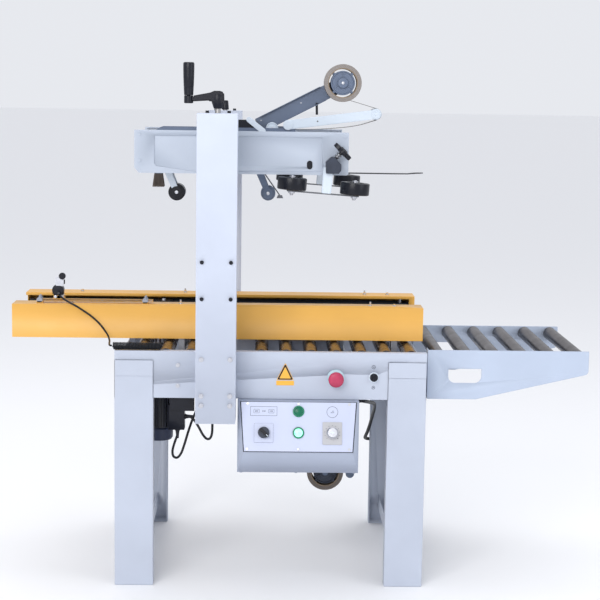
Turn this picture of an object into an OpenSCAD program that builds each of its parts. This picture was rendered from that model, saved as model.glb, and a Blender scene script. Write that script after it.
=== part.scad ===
// Semi-automatic carton sealer: side-belt bed, two columns with a lifting taping head, roller extension.
// Machine axes: +X outfeed, -Y operator side, +Z up. Bed-centred values are shifted by machine_x.

/* [Bed and legs] */
// Length of the bed frame
bed_l = 808; // [800:4:860]
// Width over the bed's side plates
bed_w = 640; // [632:4:760]
// Height of the side plates' upper edge
bed_top = 624; // [580:4:750]
// Height of a side plate
bed_side_h = 123; // [110:1:135]
// Thickness of folded frame sheet
sheet = 3; // [2:0.5:4]
// Width of a folded edge on the bed's side plates
fold_w = 20; // [14:1:22]
// Width of a leg
leg_w = 100; // [80:2:102]
// Depth of a leg's outer flange
leg_d = 60; // [50:1:70]
// Depth of a leg's inner flange
leg_lip = 36; // [20:1:37]
// Distance from the bed's upper edge down to a leg's top
leg_drop = 24; // [20:1:40]
// Height of the low brace between a pair of legs
brace_h = 40; // [30:1:60]
// Clearance of the low brace above the floor
brace_z = 42; // [30:1:80]

/* [Rollers] */
// Outer diameter of a conveyor roller
roller_d = 36; // [30:1:38]
// Diameter of a roller axle
axle_d = 12; // [8:1:14]
// Wall of a roller tube
roller_wall = 2; // [1.5:0.5:3]
// Distance between bed rollers
bed_pitch = 65; // [64:1:66]
// Height of the bed rollers above the side plates' upper edge
roller_proud = 3; // [2:0.5:4]
// Gap between a roller's end and the plate beside it
roller_gap = 4; // [2:0.5:8]
// Distance between extension rollers
ext_pitch = 75; // [60:1:75]

/* [Extension table] */
// Width over the extension's side plates
ext_w = 450; // [400:2:560]
// Length of the extension
ext_l = 430; // [425:1:470]
// Height of an extension side plate at the machine
ext_h = 132; // [120:1:140]
// Height of an extension side plate at its free end
ext_end_h = 62; // [50:1:90]
// Distance from the bed's upper edge down to the extension's
ext_drop = 6; // [2:0.5:12]

/* [Columns and lift] */
// Width of a column
col_w = 102; // [96:1:120]
// Depth of a column
col_d = 80; // [78:1:100]
// Height of a column's top
col_top = 1235; // [1200:5:1400]
// Height of a column's lower end
col_foot = 450; // [420:2:480]
// Diameter of a lift screw
screw_d = 20; // [16:1:24]
// Width of the slot that the lift arm runs in
slot_w = 30; // [26:1:40]

/* [Guards and belts] */
// Length of a belt guard
guard_l = 1100; // [1000:10:1200]
// Height of a belt guard
guard_h = 89; // [80:1:100]
// Thickness of a belt guard
guard_t = 75; // [70:1:80]
// Gap between the two guards as drawn
guard_gap = 172; // [160:2:200]
// Height of a guard above the rollers
guard_clear = 4; // [3:0.5:8]
// Radius of a belt pulley
pulley_r = 27; // [22:1:28]
// Height of a side belt
belt_h = 50; // [40:1:60]
// Thickness of a side belt
belt_t = 4; // [3:0.5:5]
// Diameter of a guard's guide rod
rod_d = 20; // [16:1:22]
// Diameter of a drive motor
motor_d = 80; // [60:1:80]
// Travel of a guard outwards from the drawn place
guard_travel = 138; // [100:1:138]

/* [Taping head] */
// Length of the head frame
head_l = 562; // [500:2:600]
// Width over the head's side plates
head_w = 380; // [360:2:386]
// Height of the head frame
head_h = 112; // [100:1:120]
// Height of the head frame's top
head_top = 1187; // [1100:1:1190]
// Radius of a full tape roll
tape_r = 51; // [46:1:60]
// Radius of a tape roll's core
core_r = 38; // [36:0.5:39]
// Width of the tape
tape_w = 50; // [48:1:60]
// Diameter of a side compression roller
press_d = 77; // [60:1:77]
// Height of a side compression roller
press_h = 32; // [24:1:36]
// Slope of the compression roller bars in degrees
press_tilt = 4; // [0:1:6]

/* [Controls] */
// Width of the control box
box_w = 314; // [300:2:340]
// Height of the control box
box_h = 188; // [180:2:220]
// Slope of the control panel in degrees
panel_tilt = 16; // [8:1:20]
// Height of the control panel along its slope
panel_h = 128; // [120:1:130]
// Radius of the emergency stop's head
estop_r = 20; // [18:0.5:25]
// Radius of a push button's cap
button_r = 11; // [10:0.5:12]

/* [Hidden] */
$fn = 48;
// radial running clearance of a shaft in its bore
run_fit = 0.05;
// gap between pieces that move past each other
gap = 1;
// gap that keeps neighbouring solids of one node apart
part_gap = 0.2;

bed_x0 = -bed_l / 2;
bed_x1 = bed_l / 2;
bed_y = bed_w / 2;
bed_low = bed_top - bed_side_h;
leg_y = bed_y + sheet - 1;
leg_top = bed_top - leg_drop;
roller_r = roller_d / 2;
axle_r = axle_d / 2;
roller_z = bed_top + roller_proud - roller_r;
screw_r = screw_d / 2;
rod_r = rod_d / 2;

col_x = -141;
col_y1 = bed_y + col_d;
col_ym = bed_y + col_d / 2;

guard_x1 = bed_x1 + 4;
guard_x0 = guard_x1 - guard_l;
guard_y0 = guard_gap / 2;
guard_y1 = guard_y0 + guard_t;
guard_ym = (guard_y0 + guard_y1) / 2;
guard_z0 = bed_top + roller_proud + guard_clear;
guard_z1 = guard_z0 + guard_h;

ext_x0 = bed_x1 + 12;
ext_x1 = ext_x0 + ext_l;
ext_y = ext_w / 2;
ext_top = bed_top - ext_drop;
ext_roller_z = ext_top - roller_r - 1;
ext_roller_x0 = ext_x0 + 30;
hole_w = 88;
hole_h = 38;
hole_r = 18;
ext_corner_r = 12;
ext_flat = 130;

// middle of the whole machine sits on the frame's origin
machine_x = -(guard_x0 + ext_x1) / 2;

// bed roller places: three at the infeed, seven at the outfeed; the ones in tape_zone are split
in_rollers = [for (i = [0:2]) bed_x0 + 66 + i * bed_pitch];
out_rollers = [for (i = [0:6]) bed_x1 - 39 - (6 - i) * bed_pitch];
bed_rollers = concat(in_rollers, out_rollers);
rail_x0 = -172;
rail_x1 = out_rollers[3] + roller_r + 12;
rail_y = 50;
rail_t = 5;
cross_t = 6;
rail_top = bed_top - 4;
rod_x = [in_rollers[1] + bed_pitch / 2, out_rollers[5] + bed_pitch / 2];
rod_z = roller_z - roller_r - rod_r - 11;
post_t = 16;
bush_r = rod_r + 6;

pulley_in_x = guard_x0 + pulley_r + belt_t + 8;
pulley_out_x = guard_x1 - pulley_r - belt_t - 8;
belt_z = guard_z0 + (guard_h - belt_h) / 2;
drive_x = in_rollers[0] + bed_pitch / 2;
drive_y = guard_y0 + pulley_r + belt_t - 3;
drive_r = 8;
motor_y = 62;
gear_z1 = rod_z + 5;
gear_z0 = gear_z1 - 52;
motor_z0 = 334;
motor_x = drive_x;

switch_x = guard_x0 + 122;
switch_z = guard_z1 + 11;

head_x0 = -364;
head_x1 = head_x0 + head_l;
head_y = head_w / 2;
head_low = head_top - head_h;
lift_z = head_low + head_h / 2;

box_cx = 72;
box_top = bed_low - 1;
box_low = box_top - box_h;
box_y1 = bed_y + 25;
box_y0 = 150;
panel_w_top = 298;
panel_w_low = 280;
panel_y = box_y1 + 6 + panel_h / 2 * sin(panel_tilt);
panel_z = box_top - panel_h / 2 * cos(panel_tilt);
panel_t = 2;
estop_x = 168;
selector_x = 267;
row_v = 39;
low_row_v = -16;

reel_x = 188;
reel_z = head_top + 130;
low_reel_x = 157;
low_reel_z = bed_low - 267;
tension_x = 40;
tension_z = head_top + 15;
arm_dx = 38;
arm_dz = 90;
front_pivot_x = -300;
rear_pivot_x = -50;
arm_pivot_z = head_low + 30;
low_pivot_x = -120;
low_pivot_z = bed_top - 52;
low_arm_dz = 65;
arm_roller_r = 23;
low_roller_r = 18;

press_x = [50, 215];
press_y = 205;
press_z = head_low - 28;
press_mid = (press_x[0] + press_x[1]) / 2;
bar_z = -press_h / 2 - 2;
clamp_t = 42;
knob_y = head_y + 30;

paint = "#d2dae8";
paint_dark = "#aab4c8";
steel = "#b9bec6";
yellow = "#e8bc66";
black = "#1c1f26";
slate = "#69788f";

// hand-chosen route points of the leads, bed-centred
lead_points = [[-569, -140, 745], [-566, -148, 743], [-560, -157, 739], [-550, -163, 733],
    [-538, -166, 726], [-522, -167, 718], [-503, -167, 706], [-485, -167, 694], [-468, -168, 680],
    [-454, -171, 666], [-443, -180, 654], [-434, -196, 645], [-428, -218, 639], [-424, -244, 636],
    [-422, -270, 635], [-420, -290, 635], [-418.5, -301, 635], [-416, -308, 635], [-412.5, -311, 635],
    [-409.2, -311, 635]];
coil_y = -311;
coil_z = 635;
coil_x0 = -409;
coil_x1 = -283;
coil_r = 10;
motor_lead_points = [[-220.8, -280, 444], [-212, -280, 444], [-200, -284, 436], [-188, -292, 420],
    [-176, -302, 401], [-165, -313, 392], [-156, -323, 396], [-151, -330, 410], [-150, -334, 430],
    [-150, -335, 450], [-150, -335, 470]];
supply_points = [[-243, -280, 407], [-243, -280, 396], [-250, -279, 375], [-256, -277, 352],
    [-254, -274, 336], [-244, -270, 331], [-234, -266, 342], [-226, -262, 364], [-216, -258, 398],
    [-206, -254, 428], [-196, -250, 452], [-186, -246, 476], [-180, -243, 500], [-178, -240, 519.5]];
conduit_points = [[230, -170, 470], [238, -170, 470], [250, -160, 466], [264, -130, 458], [278, -80, 446],
    [290, -10, 430], [299, 70, 408], [303, 140, 380], [302, 195, 348], [299, 240, 314], [295, 275, 286],
    [291, 302, 266], [292, 322, 256], [302, 334, 251], [317, 338, 250], [331, 338, 248],
    [340, 337, 243], [344, 336, 232], [344, 336, 219.2]];
lead_r = 3.2;
conduit_r = 5;

// ---- helpers ----
module at_machine() translate([machine_x, 0, 0]) children();
module both_sides() {
    children();
    mirror([0, 1, 0]) children();
}
// box given by its low and high corners
module slab(lo, hi) translate(lo) cube(hi - lo);
// cylinder along Y between two Y values
module bar_y(x, z, y0, y1, r) translate([x, y0, z]) rotate([-90, 0, 0]) cylinder(h = y1 - y0, r = r);
// plate drawn in X and Z, from y0 to y1
module plate_xz(y0, y1) translate([0, y1, 0]) rotate([90, 0, 0]) linear_extrude(y1 - y0) children();
// places children on the sloping panel, local z outwards
module on_panel(u, v) translate([box_cx, -panel_y, panel_z]) rotate([90 - panel_tilt, 0, 0])
    translate([u, v, 0]) children();
// outline of a straight link with round ends
module link(x0, z0, x1, z1, r) {
    len = norm([x1 - x0, z1 - z0]);
    turn = atan2(z1 - z0, x1 - x0);
    translate([x0, z0]) circle(r);
    translate([x1, z1]) circle(r);
    // a little narrower than the round ends, so that no edge runs tangent
    translate([x0, z0]) rotate(turn) translate([0, -0.97 * r]) square([len, 1.94 * r]);
}
// ring along Y
module ring_y(x, z, y0, y1, r_out, r_in) difference() {
    bar_y(x, z, y0, y1, r_out);
    bar_y(x, z, y0 - 1, y1 + 1, r_in);
}

// ---- leads: a tube swept along route points ----
function unit(v) = v / norm(v);
function tangent(p, i) = unit(p[min(i + 1, len(p) - 1)] - p[max(i - 1, 0)]);
function side_of(t) = unit(cross(t, abs(t[2]) > 0.9 ? [1, 0, 0] : [0, 0, 1]));
// carries one side vector along the route so that the rings don't twist
function carried(p, i, s) = let (t = tangent(p, i)) unit(s - t * (s * t));
function sides(p, i = 0, s = undef) =
    i == len(p) ? [] :
    let (now = i == 0 ? side_of(tangent(p, 0)) : carried(p, i, s))
    concat([now], sides(p, i + 1, now));
module tube(p, r, n = 8) {
    s = sides(p);
    rings = [for (i = [0:len(p) - 1]) let (t = tangent(p, i), u = s[i], v = cross(t, u))
        for (k = [0:n - 1]) p[i] + r * (cos(360 * k / n) * u + sin(360 * k / n) * v)];
    walls = [for (i = [0:len(p) - 2], k = [0:n - 1]) let (a = i * n, b = a + n, j = (k + 1) % n)
        [a + k, b + k, b + j, a + j]];
    last = (len(p) - 1) * n;
    caps = [[for (k = [0:n - 1]) k], [for (k = [n - 1:-1:0]) last + k]];
    polyhedron(rings, concat(walls, caps));
}

// ---- frame ----
module leg(side_x) {
    // side_x is +1 at the outfeed and -1 at the infeed
    x_out = side_x * bed_x1;
    x_in = side_x * (bed_x1 - leg_w);
    lo = min(x_out, x_in);
    translate([lo, -leg_y, 0]) cube([leg_w, sheet - 1, leg_top]);
    translate([side_x > 0 ? x_out - sheet : x_out, -leg_y, 0]) cube([sheet, leg_d, bed_low - part_gap]);
    translate([side_x > 0 ? x_in : x_in - sheet, -leg_y, 0]) cube([sheet, leg_lip, bed_low - part_gap]);
    translate([lo, -leg_y, 0]) cube([leg_w, leg_lip, sheet]);
}
module leg_frame(side_x) {
    both_sides() leg(side_x);
    x = side_x > 0 ? bed_x1 - 70 : bed_x0 + 5;
    difference() {
        slab([x, -leg_y + 1, brace_z], [x + 65, leg_y - 1, brace_z + brace_h]);
        slab([x + sheet, -leg_y, brace_z + sheet], [x + 65 - sheet, leg_y, brace_z + brace_h + 1]);
    }
}
module leg_frames() color(paint) at_machine() {
    leg_frame(-1);
    leg_frame(1);
}
module bed_side() {
    slab([bed_x0, -bed_y, bed_low], [bed_x1, -bed_y + sheet, bed_top]);
    slab([bed_x0, -bed_y, bed_top - sheet], [bed_x1, -bed_y + fold_w, bed_top]);
    slab([bed_x0, -bed_y, bed_low], [bed_x1, -bed_y + fold_w, bed_low + sheet]);
}
module bed_sides() color(paint) at_machine() {
    difference() {
        bed_side();
        bar_y(estop_x, bed_top - 67, -bed_y - 1, -bed_y + fold_w, 11);
        bar_y(selector_x, bed_top - 64, -bed_y - 1, -bed_y + fold_w, 6 + run_fit);
        for (x = [bed_x0 + 30, bed_x0 + 70]) bar_y(x, bed_low + 30, -bed_y - 1, -bed_y + fold_w, 4.5);
    }
    mirror([0, 1, 0]) bed_side();
}
module bed_axle(x, y0, y1) bar_y(x, roller_z, y0 + part_gap, y1 - part_gap, axle_r);
module cross_members() color(steel) at_machine() {
    y_in = bed_y - sheet;
    y_plate = y_in - part_gap;
    under_rollers = roller_z - roller_r;
    // folded end plates, with four holes for a second extension at the infeed
    difference() {
        union() {
            for (x = [bed_x0, bed_x1 - sheet])
                slab([x, -y_plate, bed_low + sheet + part_gap], [x + sheet, y_plate, under_rollers - 6]);
        }
        for (y = [-150, 150], z = [bed_low + 25, bed_low + 65])
            translate([bed_x0 - 1, y, z]) rotate([0, 90, 0]) cylinder(h = sheet + 2, r = 4.5);
    }
    // cross plates and the two long rails beside the lower taping unit
    for (x = [rail_x0 - cross_t, rail_x1])
        slab([x, -y_plate, under_rollers - 70], [x + cross_t, y_plate, under_rollers - 4]);
    both_sides() slab([rail_x0 + part_gap, -rail_y - rail_t, under_rollers - 60],
        [rail_x1 - part_gap, -rail_y, rail_top]);
    // guide rods of the guards
    for (x = rod_x) bar_y(x, rod_z, -y_plate, y_plate, rod_r);
    for (x = bed_rollers)
        if (x > rail_x0 && x < rail_x1) both_sides() bed_axle(x, -y_in, -rail_y - rail_t);
        else bed_axle(x, -y_in, y_in);
    y_ext = ext_y - sheet - part_gap;
    for (i = [0:5]) bar_y(ext_roller_x0 + i * ext_pitch, ext_roller_z, -y_ext, y_ext, axle_r);
}
module column() difference() {
    slab([col_x - col_w / 2, -col_y1, col_foot], [col_x + col_w / 2, -bed_y, col_top]);
    slab([col_x - col_w / 2 + sheet, -col_y1 + sheet, col_foot - 1],
        [col_x + col_w / 2 - sheet, -bed_y - sheet, col_top - 6]);
    slab([col_x - slot_w / 2, -bed_y - sheet - 1, lift_z - 350],
        [col_x + slot_w / 2, -bed_y + 1, lift_z + 75]);
    translate([col_x, -col_ym, col_top - 10]) cylinder(h = 20, r = 7 + run_fit);
}
module columns() color(paint) at_machine() both_sides() column();
module hex_bolt(r, h) {
    cylinder(h = h, r = r, $fn = 6);
    cylinder(h = 1.2, r = r * 1.35);
}
module frame_bolts() color(steel) at_machine() {
    // columns to the bed and stiffener bolts up the columns
    both_sides() for (dx = [-36, 37], z = [863, 770, bed_top - 8, bed_low + 21, bed_low - 4])
        translate([col_x + dx, -col_y1, z]) rotate([90, 0, 0]) hex_bolt(5, 4);
    both_sides() for (dx = [-27, 28]) translate([col_x + dx, -col_ym + 18, col_top]) hex_bolt(5, 5);
    // guide rod fixings and panel screws
    both_sides() for (z = [bed_top - 37, bed_top - 91])
        translate([rod_x[0], -bed_y, z]) rotate([90, 0, 0]) hex_bolt(4, 3);
    for (u = [-1, 0, 1], v = [-1, 1]) on_panel(u * (panel_w_low / 2 - 9), v * (panel_h / 2 - 6))
        translate([0, 0, panel_t]) cylinder(h = 1.5, r = 3);
}
// ---- extension ----
module ext_outline() difference() {
    z_end = ext_top - ext_end_h;
    z_low = ext_top - ext_h;
    slope = atan2(z_end - z_low, ext_x1 - ext_x0 - ext_flat);
    // rounded lower corner at the free end, between the end and the sloping edge
    r = ext_corner_r;
    z_arc = z_end + r / cos(slope) - r * tan(slope);
    polygon(concat([[ext_x0, z_low], [ext_x0 + ext_flat, z_low]],
        [for (i = [0:8]) let (a = slope - 90 + i * (90 - slope) / 8)
            [ext_x1 - r + r * cos(a), z_arc + r * sin(a)]],
        [[ext_x1, ext_top], [ext_x0, ext_top]]));
    // hand hole, flat above and round below
    translate([ext_x0 + 100, ext_top - 50]) {
        for (side = [-1, 1]) translate([side * (hole_w / 2 - hole_r), hole_r - hole_h]) circle(hole_r);
        translate([-hole_w / 2 + hole_r, -hole_h]) square([hole_w - 2 * hole_r, hole_h]);
        translate([-hole_w / 2, hole_r - hole_h]) square([hole_w, hole_h - hole_r]);
    }
}
module extension_side() {
    plate_xz(-ext_y, -ext_y + sheet) ext_outline();
    slab([ext_x0, -ext_y, ext_top - ext_h], [ext_x0 + sheet, -ext_y + 40, ext_top]);
    slab([bed_x1 + part_gap, -ext_y + 10, ext_top - ext_h + 10], [ext_x0 + 1, -ext_y + 38, ext_top - 20]);
}
module extension_sides() color("#c8d8ee") at_machine() both_sides() extension_side();

// ---- electrical ----
module box_shell() hull() {
    slab([box_cx - box_w / 2, -box_y1, box_low], [box_cx + box_w / 2, -box_y0, box_top]);
    on_panel(0, 0) translate([0, 0, -1]) linear_extrude(1)
        polygon([[-panel_w_low / 2, -panel_h / 2], [panel_w_low / 2, -panel_h / 2],
            [panel_w_top / 2, panel_h / 2 - 1], [-panel_w_top / 2, panel_h / 2 - 1]]);
}
module electrical_boxes() color(paint_dark) at_machine() {
    difference() {
        box_shell();
        slab([box_cx - box_w / 2 + sheet, -box_y1 + 22, box_low + sheet],
            [box_cx + box_w / 2 - sheet, -box_y0 - sheet, box_top - sheet]);
        // wells behind the switches
        for (v = [row_v, low_row_v])
            on_panel(0, v) translate([0, 0, -30]) cylinder(h = 32, r = button_r + 1);
        for (u = [-89, 87]) on_panel(u, low_row_v) translate([0, 0, -30]) cylinder(h = 32, r = 6);
    }
    for (x = [box_cx - box_w / 2 + 10, box_cx - 4, box_cx + box_w / 2 - 10])
        translate([x, -box_y1 + 14, box_low - 4 + part_gap / 2]) cylinder(h = 4, r = 4);
    // junction box with its gland and bracket
    slab([-266, -300, 412], [-224, -255, 478]);
    slab([-262, -303, 463], [-198, -300, bed_low - part_gap]);
    translate([-223.8, -280, 444]) rotate([0, 90, 0]) cylinder(h = 2.8, r = 6);
    translate([-243, -280, 407.2]) cylinder(h = 4.9, r = 6);
    // supply inlet behind the rear outfeed leg
    slab([bed_x1 - 78, leg_y + part_gap, 165], [bed_x1 - 42, leg_y + 28, 218.8]);
}
module panel_ring(r_out, r_in, h) difference() {
    cylinder(h = h, r = r_out);
    translate([0, 0, -1]) cylinder(h = h + 2, r = r_in);
}
module control_panel() color("#d7defa") at_machine() {
    difference() {
        on_panel(0, 0) linear_extrude(panel_t)
            polygon([[-panel_w_low / 2 + 1, -panel_h / 2], [panel_w_low / 2 - 1, -panel_h / 2],
                [panel_w_top / 2 - 1, panel_h / 2 - 1], [-panel_w_top / 2 + 1, panel_h / 2 - 1]]);
        for (v = [row_v, low_row_v])
            on_panel(0, v) translate([0, 0, -1]) cylinder(h = 9, r = button_r + 0.3);
        for (u = [-89, 87]) on_panel(u, low_row_v) translate([0, 0, -1]) cylinder(h = 9, r = 5 + run_fit);
    }
    // bezels of the two buttons and the plates under the two knobs
    for (v = [row_v, low_row_v])
        on_panel(0, v) translate([0, 0, panel_t]) panel_ring(button_r + 4, button_r + 0.3, 4);
    for (p = [[-89, 24], [87, 25]]) on_panel(p[0], low_row_v) translate([0, 0, panel_t]) difference() {
        translate([-p[1], -p[1] - 2, 0]) cube([2 * p[1], 2 * p[1] + 2, 3]);
        translate([0, 0, -1]) cylinder(h = 9, r = 5 + run_fit);
    }
    // warning triangle and its strip on the bed's side plate
    plate_xz(-bed_y - 0.8, -bed_y) polygon([[15, bed_top - 73], [59, bed_top - 73], [37, bed_top - 28]]);
    plate_xz(-bed_y - 0.8, -bed_y) translate([15, bed_top - 87]) square([44, 12]);
}
module on_side(x, dz) at_machine() translate([x, -bed_y, bed_top - dz]) rotate([90, 0, 0]) children();
module estop_button() color("#d73c5a") on_side(estop_x, 67) {
    translate([0, 0, -16]) cylinder(h = 34, r = 10.5);
    translate([0, 0, 18]) cylinder(h = 8, r1 = estop_r - 3, r2 = estop_r);
    translate([0, 0, 26]) cylinder(h = 5, r1 = estop_r, r2 = estop_r - 5);
}
module push_button(v, tone) color(tone) at_machine()
    on_panel(0, v) translate([0, 0, -18]) cylinder(h = 27, r = button_r);
module start_button() push_button(low_row_v, "#5af0aa");
module stop_button() push_button(row_v, "#1a7a55");
module mode_knob() color(black) at_machine() on_panel(-89, low_row_v) {
    translate([0, 0, -18]) cylinder(h = 24, r = 5);
    translate([0, 0, 6]) cylinder(h = 10, r = 14.5);
    translate([0, 0, 16]) rotate(-45) translate([-13.5, -4, 0]) cube([27, 8, 8]);
}
module dial_knob() color(steel) at_machine() on_panel(87, low_row_v) {
    translate([0, 0, -18]) cylinder(h = 24, r = 5);
    translate([0, 0, 6]) cylinder(h = 16, r1 = 15, r2 = 13);
}
module selector_switch() color(black) on_side(selector_x, 64) {
    translate([0, 0, -14]) cylinder(h = 16, r = 6);
    translate([0, 0, 2]) cylinder(h = 9, r = 10);
    translate([-3, -9, 11]) cube([6, 18, 5]);
}
module motor_lead() color(black) at_machine() tube(motor_lead_points, lead_r);
module supply_lead() color(black) at_machine() tube(supply_points, lead_r);
module conduit() color(black) at_machine() tube(conduit_points, conduit_r);

// ---- lower taping unit ----
module lower_tape_frame() color(slate) at_machine() {
    both_sides() difference() {
        plate_xz(-36, -32) polygon([[-150, bed_top - 140], [140, bed_top - 140], [190, bed_top - 110],
            [190, rail_top], [-150, rail_top]]);
        bar_y(low_pivot_x, low_pivot_z, -40, -30, 6 + run_fit);
        for (x = [-142, 178]) bar_y(x, bed_top - 40, -40, -30, 6 + part_gap);
    }
    // hanger bars between the two long rails
    for (x = [-142, 178]) bar_y(x, bed_top - 40, -rail_y + part_gap, rail_y - part_gap, 6);
    // reel arm that carries the roll below the bed
    plate_xz(27, 31.8) union() {
        link(low_reel_x, low_reel_z, 150, bed_top - 160, 20);
        translate([110, bed_top - 180]) square([80, 60]);
    }
    bar_y(low_reel_x, low_reel_z, -30, 31.8, 8);
    for (x = [-140, 0, 178]) bar_y(x, bed_top - 120, -31.8, x > 0 ? 26.8 : 31.8, 5);
    // small guide roller beside the roll
    bar_y(227, low_reel_z - 4, -25, 34.2, 12);
    plate_xz(32, 34.2) link(low_reel_x, low_reel_z, 227, low_reel_z - 4, 10);
}
module lower_tape_arm() color(steel) at_machine() {
    ring_y(low_pivot_x, low_pivot_z, -29, 29, 11, 3);
    bar_y(low_pivot_x, low_pivot_z, -36, 36, 6);
    both_sides() plate_xz(-29, -26)
        link(low_pivot_x, low_pivot_z, low_pivot_x + arm_dx, low_pivot_z + low_arm_dz, 9);
    bar_y(low_pivot_x + arm_dx, low_pivot_z + low_arm_dz, -25.5, 25.5, low_roller_r);
    bar_y(low_pivot_x + arm_dx, low_pivot_z + low_arm_dz, -29, 29, 4);
}
module tape_roll(x, z, post_r) {
    color("#96887c") ring_y(x, z, -tape_w / 2, tape_w / 2, tape_r, core_r);
    color(black) ring_y(x, z, -tape_w / 2 + 2, tape_w / 2 - 2, core_r - 5, post_r + run_fit);
    // lugs that grip the core
    color(black) for (a = [45:90:315]) translate([x, 0, z]) rotate([0, a, 0])
        slab([core_r - 7, -tape_w / 2 + 4, -3], [core_r + 2, tape_w / 2 - 4, 3]);
}
module tape_roll_lower() at_machine() tape_roll(low_reel_x, low_reel_z, 8);
module tape_roll_upper() at_machine() tape_roll(reel_x, reel_z, 8);

// ---- guards ----
module guard_cover() {
    // inverted tray with a belt window on the inner side
    difference() {
        slab([guard_x0, -guard_y1, guard_z0], [guard_x1, -guard_y0, guard_z1]);
        slab([guard_x0 + 2, -guard_y1 + 2, guard_z0 - 1],
            [guard_x1 - 2, -guard_y0 - 2, guard_z1 - 2]);
        slab([guard_x0 - 1, -guard_y0 - 30, guard_z0 - 1],
            [guard_x1 - 16, -guard_y0 + 1, guard_z1 - 8]);
    }
    // base plate
    difference() {
        slab([guard_x0 + 2 + part_gap, -guard_y1 + 2 + part_gap, guard_z0 + 2],
            [guard_x1 - 18, -guard_y0 - 4, guard_z0 + 5]);
        translate([drive_x, -drive_y, guard_z0 - 1]) cylinder(h = 10, r = drive_r + 1);
        for (x = [pulley_in_x, pulley_out_x])
            translate([x, -drive_y, guard_z0 - 1]) cylinder(h = 10, r = 6 + part_gap);
    }
    // pulley posts
    for (x = [pulley_in_x, pulley_out_x])
        translate([x, -drive_y, guard_z0 + 1]) cylinder(h = guard_h - 4, r = 6);
    // posts and bushes on the guide rods
    for (x = rod_x) difference() {
        union() {
            slab([x - post_t / 2, -guard_ym - 20, rod_z],
                [x + post_t / 2, -guard_ym + 20, guard_z0 + 2 - part_gap]);
            bar_y(x, rod_z, -guard_ym - 20, -guard_ym + 20, bush_r);
        }
        bar_y(x, rod_z, -guard_ym - 30, -guard_ym + 30, rod_r + run_fit);
    }
    // cover screws
    for (x = [guard_x0 + 155, rod_x[0] - 4, rod_x[0] + 60, rod_x[1] - bed_pitch, rod_x[1]])
        translate([x, -guard_ym, guard_z1 - 1]) cylinder(h = 7, r = 3);
}
module guard_front() color(yellow) at_machine() {
    guard_cover();
    // slotted rail of the carton switch, on two end blocks
    for (x = [guard_x0 + 70, guard_x0 + 353])
        slab([x - 8, -guard_ym - 14, guard_z1 + part_gap], [x + 8, -guard_ym + 14, guard_z1 + 5]);
    slab([guard_x0 + 62, -guard_ym - 10, guard_z1 + 4.5], [guard_x0 + 373, -guard_ym + 10, guard_z1 + 11]);
    // carton switch: clamp on the rail, body, bracket and clamp screw
    slab([switch_x - 14, -guard_ym - 14, switch_z], [switch_x + 14, -guard_ym + 14, switch_z + 9.8]);
    slab([switch_x - 18, -guard_ym - 14, switch_z + 10], [switch_x + 14, -guard_ym + 12, switch_z + 38]);
    slab([switch_x - 9, -guard_ym - 14, switch_z + 37], [switch_x + 13, -guard_ym - 8, switch_z + 62]);
    translate([switch_x + 10, -guard_ym - 14, switch_z + 62]) rotate([90, 0, 0]) cylinder(h = 9, r = 9);
}
module guard_rear() color(yellow) at_machine() mirror([0, 1, 0]) guard_cover();
// outline of the belt loop at a radius
module loop_2d(r) {
    translate([pulley_in_x, -drive_y]) circle(r);
    translate([pulley_out_x, -drive_y]) circle(r);
    translate([pulley_in_x, -drive_y - r]) square([pulley_out_x - pulley_in_x, 2 * r]);
}
module belt_drive() {
    color(black) translate([0, 0, belt_z]) linear_extrude(belt_h) difference() {
        loop_2d(pulley_r + belt_t);
        loop_2d(pulley_r + 0.4);
    }
    // drive drum inside the belt, its shaft, gearbox and motor
    color(steel) translate([drive_x, -drive_y, belt_z + 1]) cylinder(h = belt_h - 2, r = pulley_r);
    color(steel) translate([drive_x, -drive_y, gear_z1 - 2])
        cylinder(h = belt_z + 7 - gear_z1, r = drive_r);
    color(slate) slab([motor_x - 28, -drive_y - drive_r, gear_z0], [motor_x + 28, -26, gear_z1]);
    color("#0f141f") translate([motor_x, -motor_y, motor_z0 + 30])
        cylinder(h = gear_z0 - motor_z0 - 29, r = motor_d / 2);
    color("#1e2d4b") translate([motor_x, -motor_y, motor_z0]) cylinder(h = 30.5, r = motor_d / 2 - 2);
}
module belt_drive_front() at_machine() belt_drive();
module belt_drive_rear() at_machine() mirror([0, 1, 0]) belt_drive();
module pulley() difference() {
    translate([pulley_in_x, -drive_y, belt_z + 1]) cylinder(h = belt_h - 2, r = pulley_r);
    translate([pulley_in_x, -drive_y, belt_z - 1]) cylinder(h = belt_h + 4, r = 6 + run_fit);
}
module pulley_front() color(steel) at_machine() pulley();
module pulley_rear() color(steel) at_machine() mirror([0, 1, 0]) pulley();
module switch_lever() color(black) at_machine() {
    translate([switch_x, -guard_ym + 2, switch_z + 38.5]) cylinder(h = 9, r = 8);
    slab([switch_x - 3, -guard_ym + 2, switch_z + 40], [switch_x + 3, -guard_ym + 46, switch_z + 43]);
    translate([switch_x, -guard_ym + 46, switch_z + 34]) cylinder(h = 12, r = 9);
}
module sensor_lead() color(black) at_machine() tube(lead_points, 2.6);
module sensor_coil() color(black) at_machine()
    translate([coil_x0 + 0.6, coil_y, coil_z]) rotate([0, 90, 0])
        cylinder(h = coil_x1 - coil_x0, r = coil_r);

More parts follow.
